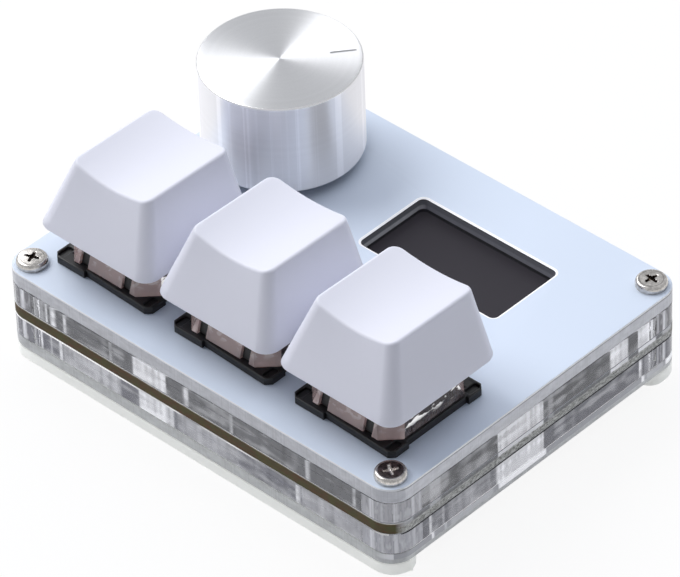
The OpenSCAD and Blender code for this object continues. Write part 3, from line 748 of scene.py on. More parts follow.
# Painted light in the frames' walls: light gaps, in millimetres along the wall, with the share of painted
# light in each
UPPER_LONG = ((-27.1, -26.6, 1), (-26.5, -25.9, 0.5), (-25.7, -25.2, 1), (-24.8, -23.9, 1),
              (-22.7, -22.1, 0.8), (-15.2, -14.7, 0.5), (-11.4, -8.8, 0.9), (-8.8, -5.9, 1),
              (-3.2, -2.3, 0.8), (4.3, 4.7, 0.5), (16.0, 16.8, 0.5), (23.4, 23.9, 0.5), (27.1, 31, 0.3))
LOWER_LONG = ((-27.2, -26.4, 1), (-25.2, -24.8, 0.5), (-23.7, -23.0, 1), (-22.9, -13.5, 0.5),
              (-10.6, -6.2, 1), (-6.2, -4.8, 0.7), (-4.4, 5.4, 0.3), (14.3, 15.1, 0.8), (15.3, 25.1, 0.3),
              (25.3, 31, 0.5))
UPPER_SHORT = ((-24.7, -19.8, 0.3), (-17.2, -15.2, 0.4), (-5.8, 0.7, 0.8), (0.7, 2.1, 0.9), (2.8, 3.8, 0.3),
               (13.5, 15.2, 1), (15.2, 16.8, 0.8), (18.4, 21.6, 1), (22.6, 24.7, 0.5))
LOWER_SHORT = ((-17.4, -16.8, 0.8), (-15.2, -14.7, 0.3), (-14.2, -6.9, 0.2), (-6.1, 2.1, 1), (18.6, 19.2, 1),
               (19.5, 22.6, 0.2), (22.8, 24.7, 1))
CORNER_PANES = ((2.6, 3.4, 1), (4.3, 4.9, 0.5), (6.3, 7.1, 0.8), (9.3, 9.9, 1), (10.5, 10.9, 0.5))


# Shapes of the case


def screw_places():
    """Middles of the corner screws."""
    x, y = high("standoffs").x - STANDOFF_R, high("standoffs").y - STANDOFF_R
    return [(sx * x, sy * y) for sx in (-1, 1) for sy in (-1, 1)]


CASE = high("bottom_plate") - low("bottom_plate")
STANDOFF_R = 1.6 * MM
HOLE_R = 1.1 * MM
STANDOFF_HOLE_R = 1.7 * MM
CORNER_R = 3 * MM
FRAME_WALL = 3.5 * MM
INNER_CORNER_R = 2 * MM
# Height of the band on the lower frame's top edge that takes the painted shadow line at the ends and painted
# light at the front and back
LIT_EDGE = 0.18 * MM
# Width, depth and corner radius of the top plate's cutouts
KEY_CUTOUT = (14.0 * MM, 14.0 * MM, 0.3 * MM)
DIAL_CUTOUT = (12.6 * MM, 13.0 * MM, 0.4 * MM)
# How far the corners' painted stripes reach along the straight walls
STRIPE_REACH = 1.8 * MM


def case_loop():
    return rounded_loop(CASE.x, CASE.y, CORNER_R, steps=10)


def split_straights(loop, reach):
    """Adds points near the ends of an outline's straight edges, so that its corners can take a finish."""
    made = []
    for a, b in zip(loop, loop[1:] + loop[:1]):
        made.append(a)
        run = Vector(b) - Vector(a)
        if run.length > 4 * reach:
            step = run.normalized() * reach
            made += [tuple(Vector(a) + step), tuple(Vector(b) - step)]
    return made


def gap_frame_loop(outer, inner, left, right):
    """Outline of a frame with a gap in its back wall, as one closed loop."""
    back = max(y for x, y in outer)
    wall = max(y for x, y in inner)
    # The outer outline runs anticlockwise, so it leaves the gap on its left side and comes back on its right
    k = next(i for i, (x, y) in enumerate(outer) if x < left and abs(y - back) < 1e-9)
    around = outer[k:] + outer[:k]
    rim = inner[::-1]
    k = next(i for i, (x, y) in enumerate(rim) if x > right and abs(y - wall) < 1e-9)
    rim = rim[k:] + rim[:k]
    return [(left, back)] + around + [(right, back), (right, wall)] + rim + [(left, wall)]


class KEYPAD_OT_plates(bpy.types.Operator):
    """Builds the top plate, both frames, the circuit board, the bottom plate and the feet"""

    bl_idname = "keypad.plates"
    bl_label = "Plates"

    def execute(self, context):
        s = settings(context, "case")
        screws = [circle_loop(HOLE_R, p) for p in screw_places()]
        posts = [circle_loop(STANDOFF_HOLE_R, p) for p in screw_places()]
        film = film_finish(s.film)
        rim = sawn_finish("plate_rim", s.rim, 0.12, 0.22)
        wall = window_finish(s.window)
        # The window's cut edge: white, glowing faintly as a painted highlight.
        cut = plastic("cut_edge", shade(253, 253, 254), 0.35, Emission_Color=(1, 1, 1, 1),
                      Emission_Strength=0.08)
        clear = clear_finish(s.clear)

        bottom, top = low("top_plate").z, high("top_plate").z
        cutouts = [rounded_loop(*KEY_CUTOUT, (k.x, k.y), 3) for k in KEYS.values()]
        cutouts.append(rounded_loop(*DIAL_CUTOUT, (DIAL.x, DIAL.y), 3))
        cutouts.append(window_loop())

        def pick(p):
            """Film 0, sawn edge 1, window wall 2, the window's cut edge 3."""
            if p.normal.z > 0.9 and p.center.z > top - 0.03 * MM:
                return 0
            x0, y0, x1, y1 = window_box()
            if x0 - MM < p.center.x < x1 + MM and y0 - MM < p.center.y < y1 + MM:
                return 3 if p.center.z > top - 0.11 * MM else 2
            return 1

        cut_edge = [(0, bottom), (0, top - 0.12 * MM), (0.28 * MM, top)]
        slab_piece("top_plate", [case_loop(), *cutouts, *screws], round_profile(bottom, top, s.edge),
                   [film, rim, wall, cut], pick, cut_edge)

        gap = 0.03 * MM
        marked = split_straights(case_loop(), STRIPE_REACH)
        painted_seam_shadow = plastic("seam_shadow", (0.004, 0.004, 0.005), 0.6)
        outer_x, outer_y = CASE.x / 2, CASE.y / 2
        inner_x, inner_y = outer_x - FRAME_WALL, outer_y - FRAME_WALL
        stripes = CORNER_R + STRIPE_REACH

        def wall_pick(top, lower):
            """Clear 0, painted panes 1, painted shadow line 2, painted stripes 3, sawn edge with painted
            light 4.
            """
            def pick(p):
                x, y = abs(p.center.x), abs(p.center.y)
                if abs(p.normal.z) < 0.98 and x < inner_x + 0.2 * MM and y < inner_y + 0.2 * MM:
                    return 1
                if lower and p.center.z > top - LIT_EDGE and p.normal.z < 0.9:
                    if x > outer_x - 0.3 * MM:
                        return 2
                    if y > outer_y - 0.5 * MM:
                        return 4
                striped = abs(p.normal.z) < 0.3 and x > outer_x - stripes and y > outer_y - stripes
                return 3 if striped and not in_screw(p.center) else 0
            return pick

        inner = rounded_loop(2 * inner_x, 2 * inner_y, INNER_CORNER_R)
        socket = middle("usb_shell").x
        reach = (high("usb_tongue").x - low("usb_tongue").x) / 2 + 1.25 * MM
        bottom, top = low("upper_frame").z + gap, high("upper_frame").z - gap
        panes = pane_finish("upper_wall", s.upper_dark, s.light, top / MM - 0.8, UPPER_LONG, UPPER_SHORT)
        corner = corner_finish("upper_corner", s.corner_dark, s.light, 0)
        slab_piece("upper_frame", [gap_frame_loop(marked, inner, socket - reach, socket + reach), *posts],
                   round_profile(bottom, top, s.edge), [clear, panes, painted_seam_shadow, corner],
                   wall_pick(top, False))

        bottom, top = low("lower_frame").z + gap, high("lower_frame").z - gap
        panes = pane_finish("lower_wall", s.lower_dark, s.light, DECK, LOWER_LONG, LOWER_SHORT)
        corner = corner_finish("lower_corner", s.lower_dark, s.light, 3)
        steps = round_profile(bottom, top, s.edge)
        steps.insert(4, (0, top - LIT_EDGE))
        slab_piece("lower_frame", [marked, inner, *posts], steps,
                   [clear, panes, painted_seam_shadow, corner, lit_edge_finish()], wall_pick(top, True))

        bottom, top = low("bottom_plate").z, high("bottom_plate").z
        sink = [(0.77 * MM, bottom), (0, bottom + 0.95 * MM), (0, top)]
        sawn = sawn_finish("bottom_rim", s.bottom_rim, 0.15, 0.25, sees_panes=True)
        slab_piece("bottom_plate", [case_loop(), *screws], round_profile(bottom, top, s.edge),
                   [clear, sawn],
                   lambda p: 1 if abs(p.normal.z) < 0.95 and not in_screw(p.center) else 0, sink)

        foot = foot_finish(s.foot)
        outer, inner = (CORNER_R,) * 2, (2 * MM,) * 2
        for node, radii in (("front_foot", inner + outer), ("rear_foot", outer + inner)):
            size, spot = high(node) - low(node), middle(node)
            slab_piece(node, [rounded_loop(size.x, size.y, radii, (spot.x, spot.y))],
                       round_profile(low(node).z, high(node).z, s.foot_edge, 4), [foot])
        softened("circuit_board", "case", laminate_finish(s.board_edge, s.board_mask), 0.05)
        return {"FINISHED"}


def in_screw(point):
    return any((point.xy - Vector(place)).length < 2.2 * MM for place in screw_places())


def window_box():
    """Left, front, right and back of the display window."""
    glass_low, glass_high = low("display_panel"), high("display_panel")
    return glass_low.x + 2.7 * MM, glass_low.y + 5.95 * MM, glass_high.x - 2.7 * MM, glass_high.y - 2.1 * MM


def window_loop():
    x0, y0, x1, y1 = window_box()
    return rounded_loop(x1 - x0, y1 - y0, 0.8 * MM, ((x0 + x1) / 2, (y0 + y1) / 2), 6)


def foot_finish(colour):
    """Milky rubber that lets some light through, and glows faintly in its own colour as painted light."""
    f = Finish("foot_rubber")
    drift = f.noise(4, 3)
    fine = f.noise(0.1, 2)
    return f.set(Base_Color=f.blend(drift, darker(colour, 0.95), colour), Roughness=drift * 0.12 + 0.34,
                 Transmission_Weight=0.2, IOR=1.12,
                 Emission_Color=colour, Emission_Strength=0.16, Normal=f.bump(fine, 0.1, 0.01))


# Screws


def cross_depth(x, y, reach, half, depth):
    """Depth of a cross recess at a point: two tapered arms with sloping walls."""
    deepest = 0
    for along, across in ((x, y), (y, x)):
        width = half * (1 - 0.35 * min(1, abs(along) / reach))
        side = (width - abs(across)) / (0.16 * half)
        end = (reach - abs(along)) / (0.22 * reach)
        deepest = max(deepest, min(1, max(0, side)) * min(1, max(0, end)))
    return depth * deepest


def screw_mesh(name, radius, rise, crown, reach, half, shank_l, taper=False, steps=96):
    """A screw that points down from the origin: its head with a cross recess, and its shank. Millimetres."""
    shank_r, thread, depth = 0.98, 0.4, 0.5
    flat = [radius * k / 26 for k in range(1, 24)]
    if taper:
        levels = [(r, 0) for r in (*flat, radius)]
        tail = [(shank_r, -0.9)]
    else:
        shoulder = radius - crown
        base = rise - crown * 0.25 * (shoulder / radius) ** 2
        turns = [math.pi / 2 * k / 6 for k in range(7)]
        levels = [(r, rise - crown * 0.25 * (r / radius) ** 2) for r in flat if r < shoulder]
        levels += [(shoulder + crown * math.sin(a), base - (base - rise * 0.30) * (1 - math.cos(a)))
                   for a in turns]
        tail = [(radius * 0.985, 0), (shank_r, 0)]
    for k in range(math.ceil((shank_l - 1) / thread - 1e-6)):
        tail += [(shank_r, -1 - k * thread), (shank_r * 0.86, -1 - (k + 0.5) * thread)]
    bm = bmesh.new()
    rings = [ring(bm, [(0, 0)], levels[0][1] - depth)]
    for r, z in levels:
        rings.append([bm.verts.new((x, y, z - cross_depth(x, y, reach, half, depth)))
                      for x, y in circle_loop(r, steps=steps)])
    rings += [ring(bm, circle_loop(r, steps=steps), z) for r, z in tail + [(shank_r * 0.8, -shank_l)]]
    bridge(bm, rings + [ring(bm, [(0, 0)], -shank_l)])
    in_place(bm)
    return new_object(name, bm)


def screw_finish(colour, top):
    """Bright steel with painted shade: a dark ring near the rim of the head, and the bottom of the cross
    recess dark, except in the head in the front corner, where it is light. The head in the front corner is
    stained.
    """
    f = Finish("screw_steel")
    x, y, z = f.axes()
    wear = f.noise(0.5, 4, 0.6)
    across, along = (abs(v) / MM for v in screw_places()[0])
    dx, dy = abs(x) - across, abs(y) - along
    out = (dx * dx + dy * dy).sum("SQRT")
    depth = top / MM - z
    # Painted shade: the bottom of the cross recess darkens.
    deep = depth.over(0.10, 0.05) * (1.05 - out).over(0.0, 0.06)
    # Painted shade: a dark ring near the rim of the head.
    edge_line = (0.07 - abs(out - 1.42)).over(0.0, 0.03)
    front = x.over(0, 1) * (-y).over(0, 1)
    stain = front * (1.45 - out).over(0.0, 0.05) * (1.0 - deep)
    tone = f.blend(wear.over(0.5, 0.15), darker(colour, 0.62), colour)
    tone = f.blend(edge_line * 0.45, tone, darker(colour, 0.2))
    tone = f.blend(deep, tone, f.blend(front, shade(112, 104, 98), shade(226, 222, 220)))
    tone = f.blend(stain * 0.85, tone, f.blend(wear.over(0.52, 0.1), shade(52, 36, 34), shade(104, 80, 78)))
    return f.set(Base_Color=tone, Metallic=1.0, Roughness=wear * 0.2 + 0.14, Normal=f.bump(wear, 0.15, 0.03))


class PieceTree:
    """A geometry node tree with named inputs, run once on the points and edges of a plain mesh."""

    def __init__(self, name, inputs):
        self.tree = bpy.data.node_groups.new(name, "GeometryNodeTree")
        sockets = self.tree.interface
        sockets.new_socket("Geometry", in_out="OUTPUT", socket_type="NodeSocketGeometry")
        sockets.new_socket("Geometry", in_out="INPUT", socket_type="NodeSocketGeometry")
        self.keys = {key: sockets.new_socket(key, in_out="INPUT", socket_type=f"NodeSocket{kind}").identifier
                     for key, kind in inputs.items()}
        self.given = self.tree.nodes.new("NodeGroupInput").outputs

    def node(self, kind, inputs, out=0, **settings):
        made = self.tree.nodes.new(kind)
        for key, setting in settings.items():
            setattr(made, key, setting)
        for key, given in inputs.items():
            if isinstance(given, bpy.types.NodeSocket):
                self.tree.links.new(given, made.inputs[key])
            else:
                made.inputs[key].default_value = given
        return made.outputs[out]

    def run(self, name, geometry, material, points, edges, values):
        real = self.node("GeometryNodeRealizeInstances", {0: geometry})
        coat = self.node("GeometryNodeSetMaterial", {"Geometry": real, "Material": material})
        self.tree.links.new(coat, self.tree.nodes.new("NodeGroupOutput").inputs[0])
        mesh = bpy.data.meshes.new(name)
        mesh.from_pydata(points, edges, [])
        holder = bpy.data.objects.new(f"{name}_holder", mesh)
        bpy.context.scene.collection.objects.link(holder)
        modifier = holder.modifiers.new("tree", "NODES")
        modifier.node_group = self.tree
        for key, value in values.items():
            modifier[self.keys[key]] = value
        return plain_mesh(holder, name)


def copies(name, source, places, material, seed, nodes=(), flip=0.0):
    """Copies of a small piece, one at each place, each turned by its own angle up to half a turn."""
    tree = PieceTree("copies", {"Source": "Object", "Flip": "Float", "Turn": "Float", "Seed": "Int"})
    shape = tree.node("GeometryNodeObjectInfo", {"Object": tree.given["Source"]}, "Geometry")
    chance = tree.node("FunctionNodeRandomValue", {3: tree.given["Turn"], "Seed": tree.given["Seed"]}, 1)
    angles = tree.node("ShaderNodeCombineXYZ", {"X": tree.given["Flip"], "Z": chance})
    placed = tree.node("GeometryNodeInstanceOnPoints",
                       {"Points": tree.given["Geometry"], "Instance": shape, "Rotation": angles})
    source.data.materials.append(material)
    made = tree.run(name, placed, material, places, [],
                    {"Source": source, "Flip": flip, "Turn": math.pi, "Seed": seed})
    bpy.data.objects.remove(source)
    dress(made, "case", [material], nodes)


def tracks(name, routes, width, height, z, material):
    """Flat ribbons along routes of points, such as the copper under a board's lacquer."""
    points, edges = [], []
    for route in routes:
        edges += [(len(points) + k, len(points) + k + 1) for k in range(len(route) - 1)]
        points += [(x * MM, y * MM, z) for x, y in route]
    tree = PieceTree("tracks", {"Width": "Float", "Height": "Float"})
    line = tree.node("GeometryNodeMeshToCurve", {"Mesh": tree.given["Geometry"]})
    line = tree.node("GeometryNodeSetCurveNormal", {"Curve": line}, mode="Z_UP")
    section = tree.node("GeometryNodeCurvePrimitiveQuadrilateral",
                        {"Width": tree.given["Width"], "Height": tree.given["Height"]})
    solid = tree.node("GeometryNodeCurveToMesh", {"Curve": line, "Profile Curve": section, "Fill Caps": True})
    made = tree.run(name, solid, material, points, edges, {"Width": width, "Height": height})
    dress(made, "case", [material])


def corners(z):
    return [(x, y, z) for x, y in screw_places()]


class KEYPAD_OT_screws(bpy.types.Operator):
    """Builds the corner screws, the standoffs and the screws under the case"""

    bl_idname = "keypad.screws"
    bl_label = "Screws and standoffs"

    def execute(self, context):
        steel = screw_finish(shade(222, 218, 214), high("corner_screws").z)
        nickel = metal("standoff_nickel", shade(214, 212, 210), 0.24)
        head_h = high("corner_screws").z / MM - DECK
        pan = screw_mesh("pan_screw", 1.95, head_h, 0.36, 0.92, 0.25, 5)
        copies("corner_screws_piece", pan, corners(DECK_Z), steel, 11, ["corner_screws"])
        flat = screw_mesh("flat_screw", 1.8, 0, 0.2, 1.0, 0.27, 4.5, taper=True)
        copies("base_screws_piece", flat, corners(low("base_screws").z + 0.01 * MM), steel, 5,
               ["base_screws"], math.pi)
        tall = (high("standoffs").z - low("standoffs").z) / MM
        wall = [(1.0, 0.15), (1.15, 0), (1.45, 0), (1.6, 0.15)]
        bm = bmesh.new()
        add_lathe(bm, wall + [(r, tall - z) for r, z in reversed(wall)], 48, closed=True)
        in_place(bm)
        post = new_object("standoff", bm)
        copies("standoffs_piece", post, corners(low("standoffs").z), nickel, 2, ["standoffs"])
        return {"FINISHED"}


# Board


# Copper routes under the board, in millimetres: from the controller to the keys, the encoder and the socket
ROUTES = (
    ((5.7, -4.0), (2.54, -7.16), (2.54, -7.4)),
    ((5.7, -3.2), (5.2, -3.7), (-12.81, -3.7), (-16.51, -7.4)),
    ((5.7, -2.4), (3.0, -2.4)),
    ((5.7, -1.6), (3.0, -1.6)),
    ((5.7, -0.8), (4.9, -0.8), (4.1, 0.0), (-17.3, 0.0), (-23.5, 6.2)),
    ((5.7, 0.0), (5.2, 0.0), (4.1, 1.1), (-15.9, 1.1), (-21.0, 6.2)),
    ((8.0, 2.3), (8.0, 2.8), (7.0, 3.8), (-16.1, 3.8), (-18.5, 6.2)),
    ((8.8, 2.3), (8.8, 5.6), (6.1, 8.3), (-3.9, 8.3), (-9.7, 14.1), (-9.7, 17.4)),
    ((9.6, 2.3), (9.6, 6.0), (6.5, 9.1), (-3.5, 9.1), (-8.9, 14.5), (-8.9, 17.4)),
    ((8.0, -6.3), (8.0, -8.2)),
    ((9.6, -6.3), (9.6, -8.2)),
    ((11.2, -6.3), (11.2, -6.7), (12.0, -7.5), (12.0, -8.2)),
    ((14.3, -4.0), (15.9, -5.6), (19.82, -5.6), (21.59, -7.37)),
    ((14.3, -3.2), (15.5, -4.4), (18.0, -4.4)),
    ((14.3, -2.4), (14.7, -2.0), (18.0, -2.0)),
    ((14.3, 0.0), (14.7, 0.4), (18.0, 0.4)),
    ((-22.86, -9.9), (-22.86, -18.4), (-19.8, -21.4), (12.0, -21.4), (15.24, -18.2), (15.24, -9.9)),
    ((-3.81, -9.9), (-3.81, -21.4)),
)


def pin_places(nodes):
    """Middles of the pins of some solids where they come out under the board."""
    board = low("circuit_board").z
    places = []
    for node in nodes:
        bm = bmesh.new()
        bm.from_mesh(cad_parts[node].data)
        bmesh.ops.remove_doubles(bm, verts=bm.verts, dist=1e-7)
        left = set(bm.verts)
        while left:
            stack, tips = [left.pop()], []
            while stack:
                vert = stack.pop()
                if vert.co.z < board - 0.2 * MM:
                    tips.append(vert.co.copy())
                for edge in vert.link_edges:
                    other = edge.other_vert(vert)
                    if other in left:
                        left.remove(other)
                        stack.append(other)
            if tips:
                xs, ys = [p.x for p in tips], [p.y for p in tips]
                places.append(((min(xs) + max(xs)) / 2, (min(ys) + max(ys)) / 2, board))
        bm.free()
    return sorted(places)


class KEYPAD_OT_board(bpy.types.Operator):
    """Builds the solder joints and the copper tracks under the circuit board"""

    bl_idname = "keypad.board"
    bl_label = "Solder and tracks"

    def execute(self, context):
        s = settings(context, "case")
        solder = metal("solder_tin", shade(198, 200, 204), 0.22, 0.1)
        bm = bmesh.new()
        add_lathe(bm, [(0, 0), (1.1, 0), (1.1, 0.04), (0.86, 0.05), (0.6, 0.2), (0.44, 0.46), (0.34, 0.72),
                       (0.18, 0.86), (0, 0.9)], 24)
        in_place(bm)
        places = pin_places([*(f"switch_contacts_{i}" for i in KEYS), "encoder_pins"])
        copies("solder_joints_piece", new_object("solder", bm), places, solder, 7, flip=math.pi)
        copper = plastic("track_lacquer", darker(s.board_mask, 0.8), 0.35, mottle=0.1)
        tracks("tracks_piece", ROUTES, 0.3 * MM, 0.06 * MM, low("circuit_board").z, copper)
        return {"FINISHED"}


# Keys


# Sizes of a keycap, in millimetres
CAP = {"base": 18.1, "base_r": 2.1, "top_w": 12.3, "front": -5.45, "back": 8.25, "front_h": 8.8,
       "back_h": 8.6, "top_r": 1.4, "dish": 0.9, "back_dish": 0.6, "wall": 1.3, "roof": 1.6}


def cap_loop(x0, y0, x1, y1, radius, corner_steps=10, side_steps=8):
    """Points round a rectangle with round corners, as many on each side as on any other."""
    arcs = rounded_loop(x1 - x0, y1 - y0, radius, ((x0 + x1) / 2, (y0 + y1) / 2), corner_steps)
    points = []
    for k, (x, y) in enumerate(arcs):
        points.append((x, y))
        if k % (corner_steps + 1) == corner_steps:
            nx, ny = arcs[(k + 1) % len(arcs)]
            points += [(x + (nx - x) * n / side_steps, y + (ny - y) * n / side_steps)
                       for n in range(1, side_steps)]
    return points


def cap_top(x, y):
    """Height of a cap's dished top at a point."""
    share = (y - CAP["front"]) / (CAP["back"] - CAP["front"])
    plane = CAP["front_h"] + (CAP["back_h"] - CAP["front_h"]) * share
    dish = CAP["dish"] + (CAP["back_dish"] - CAP["dish"]) * share
    return plane - dish * max(0, 1 - (x / (CAP["top_w"] / 2 - 0.25)) ** 2)


def add_cap(bm, reach):
    """A hollow cap: sides, rounded top edge, dished top, inner walls and ceiling. Millimetres."""
    half = CAP["base"] / 2
    foot = cap_loop(-half, -half, half, half, CAP["base_r"])
    edge = cap_loop(-CAP["top_w"] / 2, CAP["front"], CAP["top_w"] / 2, CAP["back"], CAP["top_r"])
    middle_y = (CAP["front"] + CAP["back"]) / 2
    foot3 = [Vector((x, y, 0.22)) for x, y in foot]
    edge3 = [Vector((x, y, cap_top(x, y))) for x, y in edge]
    loop_in = inset_loop(edge, reach)
    rings = [ring(bm, inset_loop(foot, 0.22), 0), ring(bm, inset_loop(foot, 0.08), 0.05)]
    for k in range(9):
        rings.append([bm.verts.new(a.lerp(b, k / 8 * (1 - reach / (b - a).length)))
                      for a, b in zip(foot3, edge3)])
    for t in (k / 8 for k in range(1, 8)):
        row = []
        for a, b, (x, y) in zip(foot3, edge3, loop_in):
            start = b.lerp(a, reach / (b - a).length)
            end = Vector((x, y, cap_top(x, y)))
            row.append(bm.verts.new(start.lerp(b, t).lerp(b.lerp(end, t), t)))
        rings.append(row)
    for t in (1 - k / 12 for k in range(12)):
        points = [(x * t, middle_y + (y - middle_y) * t) for x, y in loop_in]
        rings.append([bm.verts.new((x, y, cap_top(x, y))) for x, y in points])
    bridge(bm, rings + [ring(bm, [(0, middle_y)], cap_top(0, middle_y))])

    ceiling = CAP["back_h"] - CAP["dish"] - CAP["roof"]
    share = ceiling / CAP["front_h"]
    sides = [(a[0] + (b[0] - a[0]) * share, a[1] + (b[1] - a[1]) * share) for a, b in zip(foot, edge)]
    upper = inset_loop(sides, CAP["wall"])
    middle_y *= share
    rounded = [(x * 0.96, middle_y + (y - middle_y) * 0.96) for x, y in upper]
    inner = [ring(bm, points, z) for points, z in (
        (inset_loop(foot, CAP["wall"] - 0.15), 0), (inset_loop(foot, CAP["wall"]), 0.15),
        (upper, ceiling - 0.5), (rounded, ceiling), ([(0, middle_y)], ceiling))]
    bridge(bm, [rings[0], *inner], inward=True)


# Walls of the clear housing from foot to roof, in millimetres: half width, half depth, cut corner, height
# above the deck, depth of the notches
HOUSING_WALLS = ((7.1, 7.1, 2.1, 1.0, 0.45), (7.15, 7.15, 2.2, 1.15, 0.45), (6.4, 6.3, 2.2, 3.7, 0.4),
                 (6.25, 6.1, 2.2, 3.8, 0.02), (5.65, 5.25, 2.2, 6.4, 0.02), (5.45, 5.05, 2.1, 6.6, 0.02))


def cross_loop(span, bar):
    a, b = span / 2, bar / 2
    half = [(a, -b), (a, b), (b, b), (b, a), (-b, a), (-b, b)]
    return half + [(-x, -y) for x, y in half]


class KEYPAD_OT_keys(bpy.types.Operator):
    """Builds the keycaps and the switches under them"""

    bl_idname = "keypad.keys"
    bl_label = "Keys"

    def execute(self, context):
        s = settings(context, "key")
        cap = plastic("cap_plastic", s.cap, 0.44, 0.09, 0.12, 0.02)
        black = plastic("black_plastic", s.base, 0.42, 0.08, 0.2)
        # Painted glints on both housings, far more on the smoky sides than on the clear walls.
        housing = housing_finish("switch_housing", s.housing, 0.6, 0.5, 0.12)
        smoke = housing_finish("housing_side", shade(92, 84, 88), 0.5, 2.5, 0.9)
        stem = plastic("stem_plastic", s.stem, 0.36)
        wire = metal("spring_wire", shade(205, 200, 186), 0.28)
        brass = metal("contact_brass", shade(214, 186, 128), 0.25)
        for i, key in KEYS.items():
            self.cap(i, key, cap, s)
            self.base(i, key, black)
            self.housing(i, key, housing, black, smoke)
            softened(f"switch_stem_{i}", f"key_{i}", stem, 0.12)
            self.spring(i, key, wire)
            paint(f"switch_contacts_{i}", brass)
        for node in ("encoder_base", "usb_tongue", "controller_chip"):
            paint(node, black)
        return {"FINISHED"}

    def cap(self, i, key, material, s):
        """Cap: the hollow shell, the boss for the slider's cross, and a rib on either side of it."""
        bm = bmesh.new()
        add_cap(bm, s.top_edge / MM)
        z = low(f"keycap_{i}").z
        boss = (high(f"switch_stem_{i}").z - z) / MM - 3.58
        add_slab(bm, [circle_loop(2.75, steps=40), cross_loop(4.04, 1.29)], round_profile(boss, 6.3, 0.12))
        for near, far in ((-6.0, -2.6), (2.6, 6.0)):
            add_slab(bm, [box_loop(near, -0.5, far, 0.5)], round_profile(5.2, 6.3, 0.1))
        in_place(bm, (key.x, key.y, z))
        shaped(f"keycap_{i}", bm, f"key_{i}", [material], angle=55, outward=False)

    def base(self, i, key, material):
        """Lower housing: a flange with set-back edges and corner pits, and the body below it."""
        bm = bmesh.new()
        w, t = 7.8, 1.0
        a, b, cut = w - 5.1, w - 2.8, 0.4
        quarter = [(w - 0.7, -w), (w, -w + 0.7), (w, -b), (w - cut, -b), (w - cut, b), (w, b), (w, w - 0.7),
                   (w - 0.7, w), (a, w), (a, w - cut)]
        loop = quarter + [(-x, -y) for x, y in quarter]
        hollow = box_loop(-6.15, -6.15, 6.15, 6.15)
        add_slab(bm, [loop, hollow], round_profile(0, t - 0.35, 0.08), [(0, 0), (0, t - 0.35)])
        pits = [rounded_loop(1.0, 1.9, 0.3, (sx * 6.95, sy * 6.5), 4) for sx in (-1, 1) for sy in (-1, 1)]
        top = [(0, t - 0.36), (0, t - 0.1), (0.03, t - 0.04), (0.1, t)]
        add_slab(bm, [loop, hollow, *pits], top)
        body = rounded_loop(13.9, 13.9, 0.5, steps=4)
        floor = (low(f"switch_base_{i}").z - DECK_Z) / MM + 3.2
        add_slab(bm, [body, hollow], [(0.15, floor), (0, floor + 0.15), (0, 0.3)], [(0, floor), (0, 0.3)])
        add_slab(bm, [box_loop(-6.2, -6.2, 6.2, 6.2), circle_loop(1.6, steps=40)],
                 [(0, floor), (0, floor + 1.0)])
        post = ((0, -3.2), (1.7, -3.2), (1.95, -2.9), (1.95, 0.5), (1.75, 0.5), (1.75, 2.4), (1.45, 2.4),
                (1.45, -2.8), (0, -2.8))
        add_lathe(bm, [(r, floor + z) for r, z in post], 40)
        in_place(bm, (key.x, key.y, DECK_Z))
        shaped(f"switch_base_{i}", bm, "case", [material])

    def housing(self, i, key, material, dark, smoke):
        """Upper housing: a leaning shell with cut corners, notches for the clips and an open roof."""
        bm = bmesh.new()

        def outline(x, y, cut, z, notch=None):
            """Half sizes x and y; notch is the depth of two notches in the front and two in the back."""
            side = [(2.7, -y), (2.7, -y + notch), (4.1, -y + notch), (4.1, -y)] if notch else []
            front = [(-px, py) for px, py in side[::-1]] + side
            half = [(-x + cut, -y), *front, (x - cut, -y), (x, -y + cut), (x, y - cut)]
            return ring(bm, half + [(-px, -py) for px, py in half], z)

        walls = [outline(*sizes) for sizes in HOUSING_WALLS]
        bridge(bm, walls)
        upper, lower = (ring(bm, box_loop(-3.6, -2.9, 3.6, 2.9), z) for z in (6.6, 5.6))
        roof, foot = outline(4.9, 4.4, 1.6, 5.6), outline(6.05, 6.05, 1.5, 1.0)
        bridge(bm, [upper, lower], inward=True)
        bridge(bm, [roof, foot], inward=True)
        for rings in ((walls[-1], upper[::-1]), (roof[::-1], lower), (walls[0][::-1], foot)):
            fill(bm, rings)
        in_place(bm, (key.x, key.y, DECK_Z))
        piece = new_object(f"switch_top_{i}_shell", bm)
        round_edges(piece, 0.14, 28)

        def pick(p):
            """Clear 0, dark notches 1, smoky sides 2."""
            x, z = abs(p.center.x - key.x) / MM, (p.center.z - DECK_Z) / MM
            if 2.8 < x < 4.0 and abs(p.normal.y) > 0.8 and z < 3.7:
                return 1
            return 2 if abs(p.normal.x) > 0.8 and z < 3.75 and x > 6.1 else 0

        shell = plain_mesh(piece, f"switch_top_{i}_piece")
        bm = bmesh.new()
        bm.from_mesh(shell.data)
        bmesh.ops.dissolve_degenerate(bm, dist=0.004 * MM, edges=bm.edges)
        bm.to_mesh(shell.data)
        bm.free()
        dress(shell, "case", [material, dark, smoke], [f"switch_top_{i}"], pick, 25)

